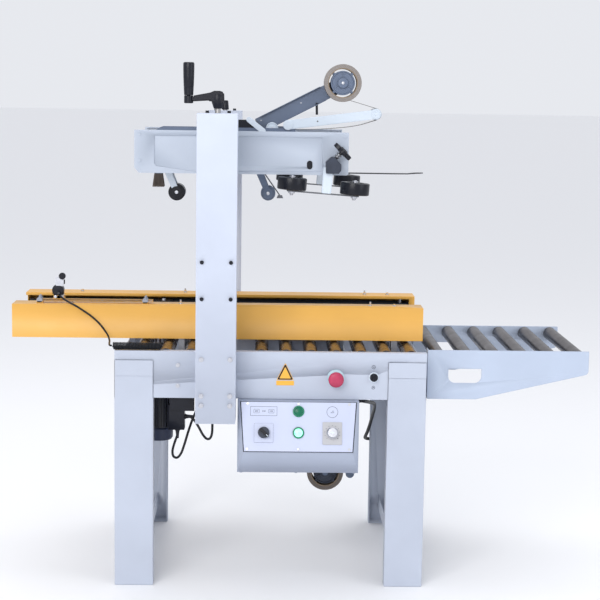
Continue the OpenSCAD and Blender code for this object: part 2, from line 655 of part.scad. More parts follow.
// ---- head ----
module head_side() difference() {
    // tray-shaped side: flanged outline with a shallow panel pressed in
    plate_xz(-head_y, -head_y + 12)
        polygon([[head_x0 + 12, head_low], [head_x1 - 4, head_low], [head_x1, head_low + 4],
            [head_x1, head_top], [head_x0, head_top], [head_x0, head_low + 14]]);
    // pressed panel on the outside
    plate_xz(-head_y - 1, -head_y + 3)
        polygon([[head_x0 + 165, head_low + 4], [head_x1 - 70, head_low + 8], [head_x1 - 70, head_top - 14],
            [head_x0 + 52, head_top - 14], [head_x0 + 52, head_low + 24], [head_x0 + 58, head_low + 18]]);
    // hollow on the inside
    plate_xz(-head_y + 6, -head_y + 13)
        polygon([[head_x0 + 6, head_low + 14], [head_x0 + 14, head_low + 3], [head_x1 - 3, head_low + 3],
            [head_x1 - 3, head_top - 3], [head_x0 + 6, head_top - 3]]);
    // cable slot and clamp slot
    for (dz = [22, 30]) bar_y(head_x1 - 102, head_low + dz, -head_y - 2, -head_y + 13, 7);
    slab([head_x1 - 68, -head_y - 1, head_low + 14], [head_x1 - 65, -head_y + 13, head_low + 30]);
}
module head_frame() color(paint) at_machine() {
    both_sides() head_side();
    // cross plates that hold the taping unit
    for (x = [head_x0 + 8, col_x - 30, col_x + 26, head_x1 - 12])
        slab([x, -head_y + 5, head_low + 40], [x + 4, head_y - 5, head_top - 6]);
    // arms through the column slots, with the nuts on the screws
    both_sides() difference() {
        union() {
            slab([col_x - slot_w / 2 + gap, -col_ym - 14, lift_z - 35],
                [col_x + slot_w / 2 - gap, -head_y + 6, lift_z + 35]);
            translate([col_x, -col_ym, lift_z - 45]) cylinder(h = 90, r = 22);
        }
        translate([col_x, -col_ym, lift_z - 60]) cylinder(h = 120, r = screw_r + run_fit);
    }
}
module screw() {
    translate([col_x, -col_ym, col_foot + 10]) cylinder(h = col_top - 7 - col_foot - 10, r = screw_r);
    translate([col_x, -col_ym, col_top - 8]) cylinder(h = 8 + 25, r = 7);
}
grip_x = col_x - 73;
hub_z = col_top + 24;
module crank() at_machine() {
    color(steel) screw();
    color(black) translate([0, -col_ym, 0]) {
        translate([col_x, 0, hub_z]) cylinder(h = 7, r1 = 11, r2 = 17.5);
        translate([col_x, 0, hub_z + 7]) cylinder(h = 24, r = 17.5);
        translate([grip_x, 0, hub_z]) cylinder(h = 19, r = 11.5);
        slab([grip_x, -8, hub_z + 5], [col_x, 8, hub_z + 18]);
        translate([grip_x, 0, hub_z + 18]) cylinder(h = 60, r = 4);
    }
}
module crank_grip() color(black) at_machine() translate([grip_x, -col_ym, hub_z + 19.5]) difference() {
    union() {
        cylinder(h = 66, r1 = 11.5, r2 = 14);
        translate([0, 0, 66]) cylinder(h = 12, r = 14);
        translate([0, 0, 78]) cylinder(h = 4, r1 = 14, r2 = 10);
    }
    translate([0, 0, -1]) cylinder(h = 61, r = 4 + run_fit);
}
module screw_rear() color(steel) at_machine() mirror([0, 1, 0]) {
    screw();
    translate([col_x, -col_ym, col_top + 3]) cylinder(h = 22, r1 = 10, r2 = 8);
}

// ---- upper taping unit ----
module reel_arm() color(slate) at_machine() {
    // side plates of the taping unit between the head's side plates
    both_sides() difference() {
        plate_xz(-36, -32) polygon([[head_x0 + 20, head_low + 8], [60, head_low + 8], [60, head_top + 6],
            [head_x0 + 60, head_top + 6], [head_x0 + 20, head_top - 20]]);
        bar_y(front_pivot_x, arm_pivot_z, -40, -30, 6 + run_fit);
        bar_y(rear_pivot_x, arm_pivot_z, -40, -30, 6 + run_fit);
        for (x = [head_x0 + 8, col_x - 30, col_x + 26, head_x1 - 12])
            slab([x - part_gap, -40, head_low + 30], [x + 4 + part_gap, -30, head_top + 10]);
    }
    // sloping arm up to the reel, behind the roll
    plate_xz(28, 31.8) difference() {
        union() {
            rise = atan2(reel_z - head_top - 18, reel_x + 30);
            translate([-30, head_top + 18]) rotate(rise) translate([-14, -23]) square([248, 42]);
            translate([reel_x, reel_z]) circle(22);
            translate([-45, head_top - 60]) square([80, 70]);
        }
        translate([rear_pivot_x, arm_pivot_z]) circle(6 + run_fit);
    }
    bar_y(reel_x, reel_z, -28, 29, 8);
    // pivot of the tension arm
    plate_xz(-36, -32) link(tension_x, head_top - 12, tension_x, tension_z, 11);
    bar_y(tension_x, tension_z, -46, -34, 4);
    // pale diagonal bar and covers over the unit
    plate_xz(-44, -36.2) link(-66, head_top + 28, -28, head_top - 2, 7);
    slab([-104, -31.8, head_top - 2], [-34, 27.8, head_top + 24]);
    bar_y(-38, head_top + 4, -40, -31, 3);
    bar_y(head_x0 + 100, head_top - 14, -31.8, 31.8, 5);
    bar_y(-3, head_top + 4, -31.8, 27.8, 15);
    bar_y(20, head_top - 14, -31.8, 27.8, 5);
    // wiping brush at the infeed end
    slab([-324, -25, head_low - 14], [-302, 25, head_low + 4]);
    slab([-326, -26, head_low - 48], [-302, 26, head_low - 13]);
    slab([-322, -31.8, head_low + 3], [-312, 31.8, head_low + 14]);
}
module tension_arm() color("#eef2fb") at_machine() {
    rx = 279;
    rz = head_top + 47;
    difference() {
        plate_xz(-42, -38) link(tension_x, tension_z, rx, rz, 12);
        bar_y(tension_x, tension_z, -50, -30, 4 + run_fit);
    }
    bar_y(rx, rz, -36, 26, 15);
    bar_y(rx, rz, -40, -35, 6);
}
module tape_arm(px, rr) {
    x = px + arm_dx;
    z = arm_pivot_z - arm_dz;
    ring_y(px, arm_pivot_z, -29, 29, 11, 3);
    bar_y(px, arm_pivot_z, -36, 36, 6);
    both_sides() plate_xz(-29, -26) link(px, arm_pivot_z, x, z, 9);
    bar_y(x, z, -25.5, 25.5, rr);
    bar_y(x, z, -30, 30, 5);
}
module front_tape_arm() color(black) at_machine() tape_arm(front_pivot_x, arm_roller_r);
module rear_tape_arm() color(slate) at_machine() {
    tape_arm(rear_pivot_x, arm_roller_r - 3);
    // cutter rod beside the rear arm
    plate_xz(29.4, 31.4) link(rear_pivot_x, arm_pivot_z, 20, head_low - 68, 2.5);
    slab([12, 18, head_low - 76], [30, 30.4, head_low - 68]);
}
// compression assembly, drawn level about its middle and then sloped
module on_bar(side) translate([press_mid, side * press_y, press_z]) rotate([0, press_tilt, 0]) children();
module compression_bars() color(steel) at_machine() {
    for (s = [-1, 1]) {
        on_bar(s) {
            translate([-95, -10, bar_z - 3]) cube([190, 20, 3]);
            for (x = press_x) translate([x - press_mid, 0, bar_z - 3]) {
                cylinder(h = press_h + 7, r = 6);
                translate([0, 0, -9]) cylinder(h = 9, r = 9, $fn = 6);
            }
            translate([-4, -12.5, bar_z]) cube([25, 25, 50 - bar_z]);
        }
        // clamp block on the outside of the head's side plate
        difference() {
            translate([157, s * (head_y + part_gap + clamp_t / 2), head_low + 27.5])
                cube([40, clamp_t, 43], center = true);
            on_bar(s) translate([-4.2, -12.7, bar_z]) cube([25.4, 25.4, 50.2 - bar_z]);
            translate([157, s * knob_y, head_low + 40]) rotate([0, 45, 0])
                cylinder(h = 60, r = 5 + run_fit);
        }
    }
    // the far clamp's screw, set tight
    translate([157, knob_y, head_low + 40]) rotate([0, 45, 0]) knob_shape();
    // long thin ski that holds the flaps down
    slab([80, -14, head_low - 4], [392, 14, head_low - 1]);
    translate([392, 0, head_low - 4]) linear_extrude(3) polygon([[-1, -20], [22, 0], [-1, 20]]);
    slab([head_x1 - 12, -14, head_low - 2], [head_x1 - 8, 14, head_low + 39.8]);
}
module press_roller(i, s) color(black) at_machine()
    on_bar(s) translate([press_x[i] - press_mid, 0, -press_h / 2]) difference() {
        cylinder(h = press_h, r = press_d / 2);
        translate([0, 0, -1]) cylinder(h = press_h + 2, r = 6 + run_fit);
    }
module press_roller_front_in() press_roller(0, -1);
module press_roller_front_out() press_roller(1, -1);
module press_roller_rear_in() press_roller(0, 1);
module press_roller_rear_out() press_roller(1, 1);
module knob_shape() {
    translate([0, 0, 6]) cylinder(h = 26, r = 5);
    translate([0, 0, 26]) cylinder(h = 14, r = 11);
    for (a = [45:90:315]) rotate(a) {
        translate([19, 0, 27]) cylinder(h = 12, r = 9);
        translate([0, -6, 27]) cube([19, 12, 12]);
    }
}
module clamp_knob() color(black) at_machine()
    translate([157, -knob_y, head_low + 40]) rotate([0, 45, 0]) knob_shape();

// ---- conveyor rollers ----
module roller(x, z, y0, y1) difference() {
    bar_y(x, z, y0, y1, roller_r);
    bar_y(x, z, y0 + 8, y1 - 8, roller_r - roller_wall);
    bar_y(x, z, y0 - 1, y1 + 1, axle_r + run_fit);
}
module bed_roller(n) color(steel) at_machine() {
    x = bed_rollers[n - 1];
    y_out = bed_y - fold_w - roller_gap;
    if (x > rail_x0 && x < rail_x1) both_sides() roller(x, roller_z, -y_out, -rail_y - rail_t - roller_gap);
    else roller(x, roller_z, -y_out, y_out);
}
module ext_roller(n) color(steel) at_machine() {
    y_out = ext_y - sheet - roller_gap;
    roller(ext_roller_x0 + (n - 1) * ext_pitch, ext_roller_z, -y_out, y_out);
}

leg_frames();
bed_sides();
cross_members();
columns();
frame_bolts();
extension_sides();
electrical_boxes();
control_panel();
motor_lead();
supply_lead();
conduit();
lower_tape_frame();
lower_tape_arm();
tape_roll_lower();
estop_button();
start_button();
stop_button();
mode_knob();
dial_knob();
selector_switch();
guard_front();
guard_rear();
belt_drive_front();
belt_drive_rear();
pulley_front();
pulley_rear();
switch_lever();
sensor_lead();
sensor_coil();
head_frame();
crank();
crank_grip();
screw_rear();
reel_arm();
tape_roll_upper();
tension_arm();
front_tape_arm();
rear_tape_arm();
compression_bars();
press_roller_front_in();
press_roller_front_out();
press_roller_rear_in();
press_roller_rear_out();
clamp_knob();
bed_roller(1);  // bed_roller_1
bed_roller(2);  // bed_roller_2
bed_roller(3);  // bed_roller_3
bed_roller(4);  // bed_roller_4
bed_roller(5);  // bed_roller_5
bed_roller(6);  // bed_roller_6
bed_roller(7);  // bed_roller_7
bed_roller(8);  // bed_roller_8
bed_roller(9);  // bed_roller_9
bed_roller(10);  // bed_roller_10
ext_roller(1);  // ext_roller_1
ext_roller(2);  // ext_roller_2
ext_roller(3);  // ext_roller_3
ext_roller(4);  // ext_roller_4
ext_roller(5);  // ext_roller_5
ext_roller(6);  // ext_roller_6
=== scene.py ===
# Carton sealer with side belts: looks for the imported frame.
import bpy, bmesh, math, random
from mathutils import Vector, Matrix


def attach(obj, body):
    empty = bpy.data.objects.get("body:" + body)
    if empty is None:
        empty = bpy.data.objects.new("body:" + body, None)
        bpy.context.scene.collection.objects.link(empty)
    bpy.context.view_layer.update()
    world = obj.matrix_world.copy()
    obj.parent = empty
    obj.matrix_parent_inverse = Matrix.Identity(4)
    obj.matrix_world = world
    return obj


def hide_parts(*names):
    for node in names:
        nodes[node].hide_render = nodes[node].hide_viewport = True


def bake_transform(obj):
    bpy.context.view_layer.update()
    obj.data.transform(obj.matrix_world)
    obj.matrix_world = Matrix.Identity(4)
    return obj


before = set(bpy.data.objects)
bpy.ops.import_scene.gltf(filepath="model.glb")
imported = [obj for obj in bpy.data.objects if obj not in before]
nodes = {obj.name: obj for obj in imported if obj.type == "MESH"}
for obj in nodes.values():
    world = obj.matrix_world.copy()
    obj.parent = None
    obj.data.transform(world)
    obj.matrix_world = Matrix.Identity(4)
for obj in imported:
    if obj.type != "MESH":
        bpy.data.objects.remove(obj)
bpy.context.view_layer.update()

machineX = -77.0  # the bed's middle in the row frame, mm
bedTop = 624.0
headTop = 1187.0
headLow = 1075.0
columnX = -141.0
columnY = 360.0
guardLow = 631.0
guardTop = 720.0


# mm about the bed's middle to metres in the row frame
def place(x, y, z):
    return Vector(((x + machineX) / 1000, y / 1000, z / 1000))


# camera and floor
cameraLook = {"lens": 92.46, "yaw": 1.381, "pitch": 7.549, "roll": -0.832,
              "at": (-22.2, -4248.7, 1281.1)}


def makeCamera():
    yaw, pitch, roll = (math.radians(cameraLook[k]) for k in ("yaw", "pitch", "roll"))
    forward = Vector((math.sin(yaw) * math.cos(pitch), math.cos(yaw) * math.cos(pitch), -math.sin(pitch)))
    right = Vector((math.cos(yaw), -math.sin(yaw), 0))
    down = forward.cross(right)
    sideways = math.cos(roll) * right + math.sin(roll) * down
    downwards = -math.sin(roll) * right + math.cos(roll) * down
    data = bpy.data.cameras.new("viewCamera")
    data.lens = cameraLook["lens"]
    data.sensor_width = 36
    data.clip_end = 200
    camera = bpy.data.objects.new("viewCamera", data)
    bpy.context.collection.objects.link(camera)
    turn = Matrix((sideways, -downwards, -forward)).transposed().to_4x4()
    camera.matrix_world = Matrix.Translation(place(*cameraLook["at"])) @ turn
    bpy.context.scene.camera = camera


makeCamera()


# materials
def startMaterial(name, colour, roughness, metallic=0.0, **extra):
    material = bpy.data.materials.new(name)
    material.use_nodes = True
    shader = material.node_tree.nodes["Principled BSDF"]
    shader.inputs["Base Color"].default_value = (*colour, 1)
    shader.inputs["Roughness"].default_value = roughness
    shader.inputs["Metallic"].default_value = metallic
    for socket, value in extra.items():
        shader.inputs[socket].default_value = value
    material.diffuse_color = (*colour, 1)
    return material, shader


def objectCoords(tree, scale=(1, 1, 1), location=(0, 0, 0)):
    coords = tree.nodes.new("ShaderNodeTexCoord")
    mapping = tree.nodes.new("ShaderNodeMapping")
    mapping.inputs["Scale"].default_value = scale
    mapping.inputs["Location"].default_value = location
    tree.links.new(coords.outputs["Object"], mapping.inputs["Vector"])
    return mapping.outputs["Vector"]


def noiseOf(tree, vector, scale, detail=3.0, roughness=0.5):
    noise = tree.nodes.new("ShaderNodeTexNoise")
    noise.inputs["Scale"].default_value = scale
    noise.inputs["Detail"].default_value = detail
    noise.inputs["Roughness"].default_value = roughness
    tree.links.new(vector, noise.inputs["Vector"])
    return noise.outputs["Fac"]


def rampOf(tree, factor, low, high, start=0.3, end=0.7):
    ramp = tree.nodes.new("ShaderNodeValToRGB")
    ramp.color_ramp.elements[0].position = start
    ramp.color_ramp.elements[1].position = end
    ramp.color_ramp.elements[0].color = (*low, 1)
    ramp.color_ramp.elements[1].color = (*high, 1)
    tree.links.new(factor, ramp.inputs["Fac"])
    return ramp.outputs["Color"]


def rangeOf(tree, factor, low, high):
    spread = tree.nodes.new("ShaderNodeMapRange")
    spread.inputs["To Min"].default_value = low
    spread.inputs["To Max"].default_value = high
    tree.links.new(factor, spread.inputs["Value"])
    return spread.outputs["Result"]


def bumpOf(tree, shader, height, distance, strength=1.0):
    bump = tree.nodes.new("ShaderNodeBump")
    bump.inputs["Distance"].default_value = distance
    bump.inputs["Strength"].default_value = strength
    tree.links.new(height, bump.inputs["Height"])
    tree.links.new(bump.outputs["Normal"], shader.inputs["Normal"])


def shade(colour, amount):
    return tuple(max(0.0, min(1.0, c * amount)) for c in colour)


# sprayed coat: faint clouding in the colour, fine texture in the surface
def powderCoat(name, colour, roughness=0.42, grain=1100.0, spread=0.05):
    material, shader = startMaterial(name, colour, roughness)
    tree = material.node_tree
    vector = objectCoords(tree)
    clouds = noiseOf(tree, vector, 7.0, 4.0)
    tree.links.new(rampOf(tree, clouds, shade(colour, 1 - spread), shade(colour, 1 + spread * 0.6)),
                   shader.inputs["Base Color"])
    fine = noiseOf(tree, vector, grain, 2.0)
    tree.links.new(rangeOf(tree, noiseOf(tree, vector, 35.0, 3.0), roughness - 0.07, roughness + 0.1),
                   shader.inputs["Roughness"])
    bumpOf(tree, shader, fine, 0.00022, 0.6)
    return material


# bright steel with fine marks that run one way
def turnedSteel(name, colour, roughness, stretch=(40, 900, 40), spread=0.15):
    material, shader = startMaterial(name, colour, roughness, 1.0)
    tree = material.node_tree
    marks = noiseOf(tree, objectCoords(tree, stretch), 1.0, 5.0, 0.6)
    smudges = noiseOf(tree, objectCoords(tree), 22.0, 4.0)
    tree.links.new(rampOf(tree, marks, shade(colour, 1 - spread), shade(colour, 1 + spread)),
                   shader.inputs["Base Color"])
    tree.links.new(rangeOf(tree, smudges, roughness - 0.08, roughness + 0.14), shader.inputs["Roughness"])
    bumpOf(tree, shader, marks, 0.00012, 0.5)
    return material


def mouldedPlastic(name, colour, roughness, grain=1600.0, depth=0.00012, **extra):
    material, shader = startMaterial(name, colour, roughness, **extra)
    shader.inputs["Specular IOR Level"].default_value = 0.28
    tree = material.node_tree
    vector = objectCoords(tree)
    tree.links.new(rampOf(tree, noiseOf(tree, vector, 45.0), shade(colour, 0.85), shade(colour, 1.12)),
                   shader.inputs["Base Color"])
    tree.links.new(rangeOf(tree, noiseOf(tree, vector, 60.0), roughness - 0.05, roughness + 0.08),
                   shader.inputs["Roughness"])
    bumpOf(tree, shader, noiseOf(tree, vector, grain, 2.0), depth, 0.5)
    return material


# film edges wound round a core: fine rings about the roll's own middle
def woundTape(name, colour, centre):
    material, shader = startMaterial(name, colour, 0.32)
    tree = material.node_tree
    wave = tree.nodes.new("ShaderNodeTexWave")
    wave.wave_type = "RINGS"
    wave.rings_direction = "Y"
    wave.inputs["Scale"].default_value = 260.0
    wave.inputs["Distortion"].default_value = 1.2
    wave.inputs["Detail"].default_value = 2.0
    tree.links.new(objectCoords(tree, location=tuple(-c for c in centre)), wave.inputs["Vector"])
    tree.links.new(rampOf(tree, wave.outputs["Fac"], shade(colour, 0.78), shade(colour, 1.18)),
                   shader.inputs["Base Color"])
    bumpOf(tree, shader, wave.outputs["Fac"], 0.0001, 0.4)
    return material


upperReel = place(188, 0, headTop + 130)
lowerReel = place(157, 0, bedTop - 123 - 267)
looks = {
    "frame": powderCoat("framePaint", (0.455, 0.495, 0.585)),
    "column": powderCoat("columnPaint", (0.54, 0.585, 0.69)),
    "extension": powderCoat("extensionPaint", (0.45, 0.515, 0.635), 0.36, 1400.0),
    "head": powderCoat("headPaint", (0.45, 0.50, 0.585), 0.36, 1400.0),
    "box": powderCoat("boxPaint", (0.36, 0.40, 0.50), 0.5, 700.0),
    "panel": powderCoat("panelPaint", (0.50, 0.54, 0.69), 0.33, 1600.0, 0.02),
    "yellow": powderCoat("guardYellow", (0.74, 0.40, 0.08), 0.4),
    "slate": powderCoat("slateCoat", (0.11, 0.145, 0.22), 0.42, 800.0, 0.12),
    "white": powderCoat("whiteCoat", (0.60, 0.67, 0.75), 0.34, 1500.0, 0.02),
    "navy": powderCoat("motorEnamel", (0.004, 0.006, 0.015), 0.38, 500.0, 0.25),
    "navyCap": powderCoat("motorCapEnamel", (0.012, 0.022, 0.06), 0.42, 600.0, 0.2),
    # painted reflection: the dark purple-brown base colours of both roller steels stand in for the reflections
    # the rollers show, and the extension rollers' copy is darker still
    "roller": turnedSteel("rollerSteel", (0.115, 0.092, 0.096), 0.24, (30, 260, 30), 0.3),
    "extRoller": turnedSteel("extRollerSteel", (0.066, 0.054, 0.056), 0.3, (30, 260, 30), 0.3),
    "zinc": turnedSteel("zincSteel", (0.52, 0.53, 0.57), 0.34, (300, 300, 300), 0.1),
    "rod": turnedSteel("rodSteel", (0.45, 0.45, 0.48), 0.2, (60, 700, 60)),
    "screwThread": turnedSteel("threadSteel", (0.36, 0.35, 0.34), 0.35, (60, 60, 500)),
    "darkSteel": turnedSteel("darkSteel", (0.16, 0.165, 0.18), 0.36, (500, 60, 60), 0.2),
    "belt": mouldedPlastic("beltRubber", (0.010, 0.013, 0.019), 0.62, 900.0, 0.0003),
    "rubber": mouldedPlastic("wheelRubber", (0.006, 0.007, 0.012), 0.28, 1300.0, 0.0001),
    "plastic": mouldedPlastic("blackPlastic", (0.007, 0.008, 0.014), 0.34),
    "plasticDark": mouldedPlastic("greyPlastic", (0.035, 0.042, 0.062), 0.4),
    "red": mouldedPlastic("stopRed", (0.42, 0.045, 0.10), 0.3),
    "darkGreen": mouldedPlastic("lensGreen", (0.008, 0.14, 0.075), 0.25),
    "ringGreen": mouldedPlastic("bezelGreen", (0.02, 0.20, 0.115), 0.3),
    "cable": mouldedPlastic("cableSheath", (0.006, 0.007, 0.010), 0.42, 1200.0, 0.0001),
    "halo": mouldedPlastic("collarPale", (0.45, 0.60, 0.66), 0.4),
    "plateGrey": powderCoat("plateGrey", (0.44, 0.44, 0.46), 0.4, 1500.0),
    "railGrey": powderCoat("railGrey", (0.30, 0.33, 0.40), 0.4, 1500.0),
    "ink": mouldedPlastic("printInk", (0.07, 0.08, 0.11), 0.6),
    "edgeInk": mouldedPlastic("gasketBlack", (0.012, 0.014, 0.022), 0.6),
    "sign": powderCoat("signYellow", (0.80, 0.42, 0.05), 0.45, 1500.0, 0.03),
    "bristle": mouldedPlastic("bristleBrown", (0.14, 0.115, 0.10), 0.75, 2200.0, 0.0004),
    "core": mouldedPlastic("cardCore", (0.25, 0.19, 0.135), 0.8, 1800.0, 0.0003),
    "tapeUpper": woundTape("tapeUpper", (0.235, 0.208, 0.192), upperReel),
    "tapeLower": woundTape("tapeLower", (0.12, 0.095, 0.08), lowerReel),
    "tapeFilm": mouldedPlastic("tapeFilm", (0.09, 0.078, 0.072), 0.2, 600.0, 0.00005),
}
litMaterial, litShader = startMaterial("lensLit", (0.28, 0.90, 0.55), 0.2)
litTree = litMaterial.node_tree
litRamp = rampOf(litTree, noiseOf(litTree, objectCoords(litTree), 90.0), (0.18, 0.85, 0.48), (0.4, 0.98,
        0.7))
litTree.links.new(litRamp, litShader.inputs["Base Color"])
litTree.links.new(litRamp, litShader.inputs["Emission Color"])
litShader.inputs["Emission Strength"].default_value = 0.75
looks["lit"] = litMaterial
print("materials made:", len(looks))


# mesh helpers, in mm about the bed's middle
toRow = Matrix.Scale(0.001, 4) @ Matrix.Translation((machineX, 0, 0))


# mm mesh or bmesh to a finished object in the row frame
def finishPiece(name, mesh, body, replaced=(), angle=35.0, materials=(), look=None):
    if isinstance(mesh, bmesh.types.BMesh):
        build = mesh
        bmesh.ops.transform(build, matrix=toRow, verts=build.verts)
        mesh = bpy.data.meshes.new(name)
        build.to_mesh(mesh)
        build.free()
    obj = bpy.data.objects.new(name, mesh)
    bpy.context.collection.objects.link(obj)
    for material in (looks[look],) if look else materials:
        mesh.materials.append(material)
    mesh.shade_smooth()
    mesh.set_sharp_from_angle(angle=math.radians(angle))
    if body:
        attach(obj, body)
    if replaced:
        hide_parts(*replaced)
    return obj


def addBox(build, low, high, bevel=0.0, index=0):
    made = bmesh.ops.create_cube(build, size=1)["verts"]
    low, high = Vector(low), Vector(high)
    for v in made:
        v.co = Vector((low[i] + (v.co[i] + 0.5) * (high[i] - low[i]) for i in range(3)))
    finishPart(build, made, bevel, index)
    return made


def finishPart(build, made, bevel, index, segments=2):
    faces = list(dict.fromkeys(f for v in made for f in v.link_faces))
    for f in faces:
        f.material_index = index
    if bevel > 0:
        edges = [e for e in dict.fromkeys(e for f in faces for e in f.edges)
                 if len(e.link_faces) == 2 and e.calc_face_angle(0) > 0.5]
        bmesh.ops.bevel(build, geom=edges, offset=bevel, segments=segments, affect="EDGES",
                        clamp_overlap=True, material=-1)


# outline in X and Z drawn out along Y, or any plane given by axis
def addPrism(build, outline, y0, y1, bevel=0.0, index=0, axis="Y"):
    def point(a, b, c):
        return (a, c, b) if axis == "Y" else ((c, a, b) if axis == "X" else (a, b, c))
    low = [build.verts.new(point(a, b, y0)) for a, b in outline]
    high = [build.verts.new(point(a, b, y1)) for a, b in outline]
    n = len(outline)
    faces = [build.faces.new(low), build.faces.new(high[::-1])]
    for i in range(n):
        faces.append(build.faces.new((low[(i + 1) % n], low[i], high[i], high[(i + 1) % n])))
    bmesh.ops.recalc_face_normals(build, faces=faces)
    finishPart(build, low + high, bevel, index)


def skinRings(build, rings, closed=False):
    count = len(rings[0])
    for a, b in zip(rings, rings[1:] + (rings[:1] if closed else [])):
        for k in range(count):
            j = (k + 1) % count
            build.faces.new((a[k], a[j], b[j], b[k]))
    if not closed:
        build.faces.new(rings[0][::-1])
        build.faces.new(rings[-1])


def turnedFrame(axis):
    axis = Vector(axis).normalized()
    side = axis.orthogonal().normalized()
    return side, axis.cross(side), axis


# profile of (radius, height) pairs turned about an axis through centre
def addTurned(build, centre, axis, profile, index=0, segments=40, closed=False, turn=0.0):
    side, other, axis = turnedFrame(axis)
    centre = Vector(centre)
    rings = []
    for radius, height in profile:
        if radius < 1e-6:
            rings.append([build.verts.new(centre + axis * height)])
            continue
        rings.append([build.verts.new(centre + axis * height + radius * (
            math.cos(a) * side + math.sin(a) * other)) for a in
            (turn + 2 * math.pi * k / segments for k in range(segments))])
    pairs = list(zip(rings, rings[1:])) + ([(rings[-1], rings[0])] if closed else [])
    faces = []
    for a, b in pairs:
        for k in range(segments):
            j = (k + 1) % segments
            if len(a) == 1 and len(b) == 1:
                continue
            if len(a) == 1:
                faces.append(build.faces.new((a[0], b[j], b[k])))
            elif len(b) == 1:
                faces.append(build.faces.new((a[k], a[j], b[0])))
            else:
                faces.append(build.faces.new((a[k], a[j], b[j], b[k])))
    if not closed:
        if len(rings[0]) > 1:
            faces.append(build.faces.new(rings[0][::-1]))
        if len(rings[-1]) > 1:
            faces.append(build.faces.new(rings[-1]))
    bmesh.ops.recalc_face_normals(build, faces=faces)
    for f in faces:
        f.material_index = index
    return faces


def addBar(build, start, end, radius, index=0, segments=20, chamfer=0.0):
    start, end = Vector(start), Vector(end)
    length = (end - start).length
    c = chamfer
    profile = [(radius - c, 0), (radius, c), (radius, length - c), (radius - c, length)] if c else \
        [(radius, 0), (radius, length)]
    addTurned(build, start, end - start, profile, index, segments)


# polygon with each corner rounded by its own radius
def roundedOutline(points, radii, steps=5):
    result = []
    n = len(points)
    for i in range(n):
        p = Vector(points[i])
        a = (Vector(points[i - 1]) - p)
        b = (Vector(points[(i + 1) % n]) - p)
        radius = radii[i] if isinstance(radii, (list, tuple)) else radii
        if radius <= 0:
            result.append(tuple(p))
            continue
        a.normalize(), b.normalize()
        half = a.angle(b) / 2
        reach = radius / math.tan(half)
        middle = p + (a + b).normalized() * radius / math.sin(half)
        first, last = p + a * reach - middle, p + b * reach - middle
        for s in range(steps + 1):
            mix = first.lerp(last, s / steps)
            result.append(tuple(middle + mix.normalized() * radius))
    return result


def linkOutline(x0, z0, x1, z1, r0, r1=None, steps=10):
    r1 = r0 if r1 is None else r1
    turn = math.atan2(z1 - z0, x1 - x0)
    ends = []
    for cx, cz, r, base in ((x0, z0, r0, turn + math.pi / 2), (x1, z1, r1, turn - math.pi / 2)):
        for s in range(steps + 1):
            a = base + math.pi * s / steps
            ends.append((cx + r * math.cos(a), cz + r * math.sin(a)))
    return ends


# the node's own shape, welded, with small rounded edges; choose picks a material for each solid
def cadCopy(node, name, body, materials, bevel=1.0, choose=None, segments=2):
    build = bmesh.new()
    build.from_mesh(nodes[node].data)
    bmesh.ops.remove_doubles(build, verts=build.verts, dist=0.00002)
    bmesh.ops.dissolve_limit(build, angle_limit=math.radians(0.6), verts=build.verts, edges=build.edges)
    seen, solids = set(), []
    for v in build.verts:
        if v in seen:
            continue
        stack, part = [v], []
        seen.add(v)
        while stack:
            u = stack.pop()
            part.append(u)
            for e in u.link_edges:
                w = e.other_vert(u)
                if w not in seen:
                    seen.add(w)
                    stack.append(w)
        solids.append(part)
    for part in solids:
        low = Vector((min(v.co[i] for v in part) for i in range(3))) * 1000 - Vector((machineX, 0, 0))
        high = Vector((max(v.co[i] for v in part) for i in range(3))) * 1000 - Vector((machineX, 0, 0))
        index = choose(low, high) if choose else 0
        if index is None:
            bmesh.ops.delete(build, geom=part, context="VERTS")
            continue
        for f in {f for v in part for f in v.link_faces}:
            f.material_index = index
    if bevel > 0:
        edges = [e for e in build.edges if len(e.link_faces) == 2 and e.calc_face_angle(0) > 0.6]
        bmesh.ops.bevel(build, geom=edges, offset=bevel / 1000, segments=segments, affect="EDGES",
                        clamp_overlap=True, material=-1)
    mesh = bpy.data.meshes.new(name)
    build.to_mesh(mesh)
    build.free()
    return finishPiece(name, mesh, body, (node,), materials=materials)


# cords first
# Catmull-Rom points through the route
def smoothPath(points, per=6):
    points = [Vector(p) for p in points]
    padded = [2 * points[0] - points[1]] + points + [2 * points[-1] - points[-2]]
    result = []
    for i in range(1, len(padded) - 2):
        a, b, c, d = padded[i - 1:i + 3]
        for s in range(per):
            t = s / per
            result.append(0.5 * ((2 * b) + (c - a) * t + (2 * a - 5 * b + 4 * c - d) * t * t
                                 + (3 * b - a - 3 * c + d) * t ** 3))
    result.append(points[-1])
    return result


# round tube swept along mm points without twisting
def cordTube(name, path, radius, body, material, replaced, sides=12):
    build = bmesh.new()
    path = [Vector(p) for p in path]
    tangents = [(path[min(i + 1, len(path) - 1)] - path[max(i - 1,
            0)]).normalized() for i in range(len(path))]
    side = tangents[0].orthogonal().normalized()
    rings = []
    for p, t in zip(path, tangents):
        side = (side - t * side.dot(t)).normalized()
        other = t.cross(side)
        rings.append([build.verts.new(p + radius * (math.cos(a) * side + math.sin(a) * other))
                      for a in (2 * math.pi * k / sides for k in range(sides))])
    skinRings(build, rings)
    return finishPiece(name, build, body, replaced, 60, (material,))


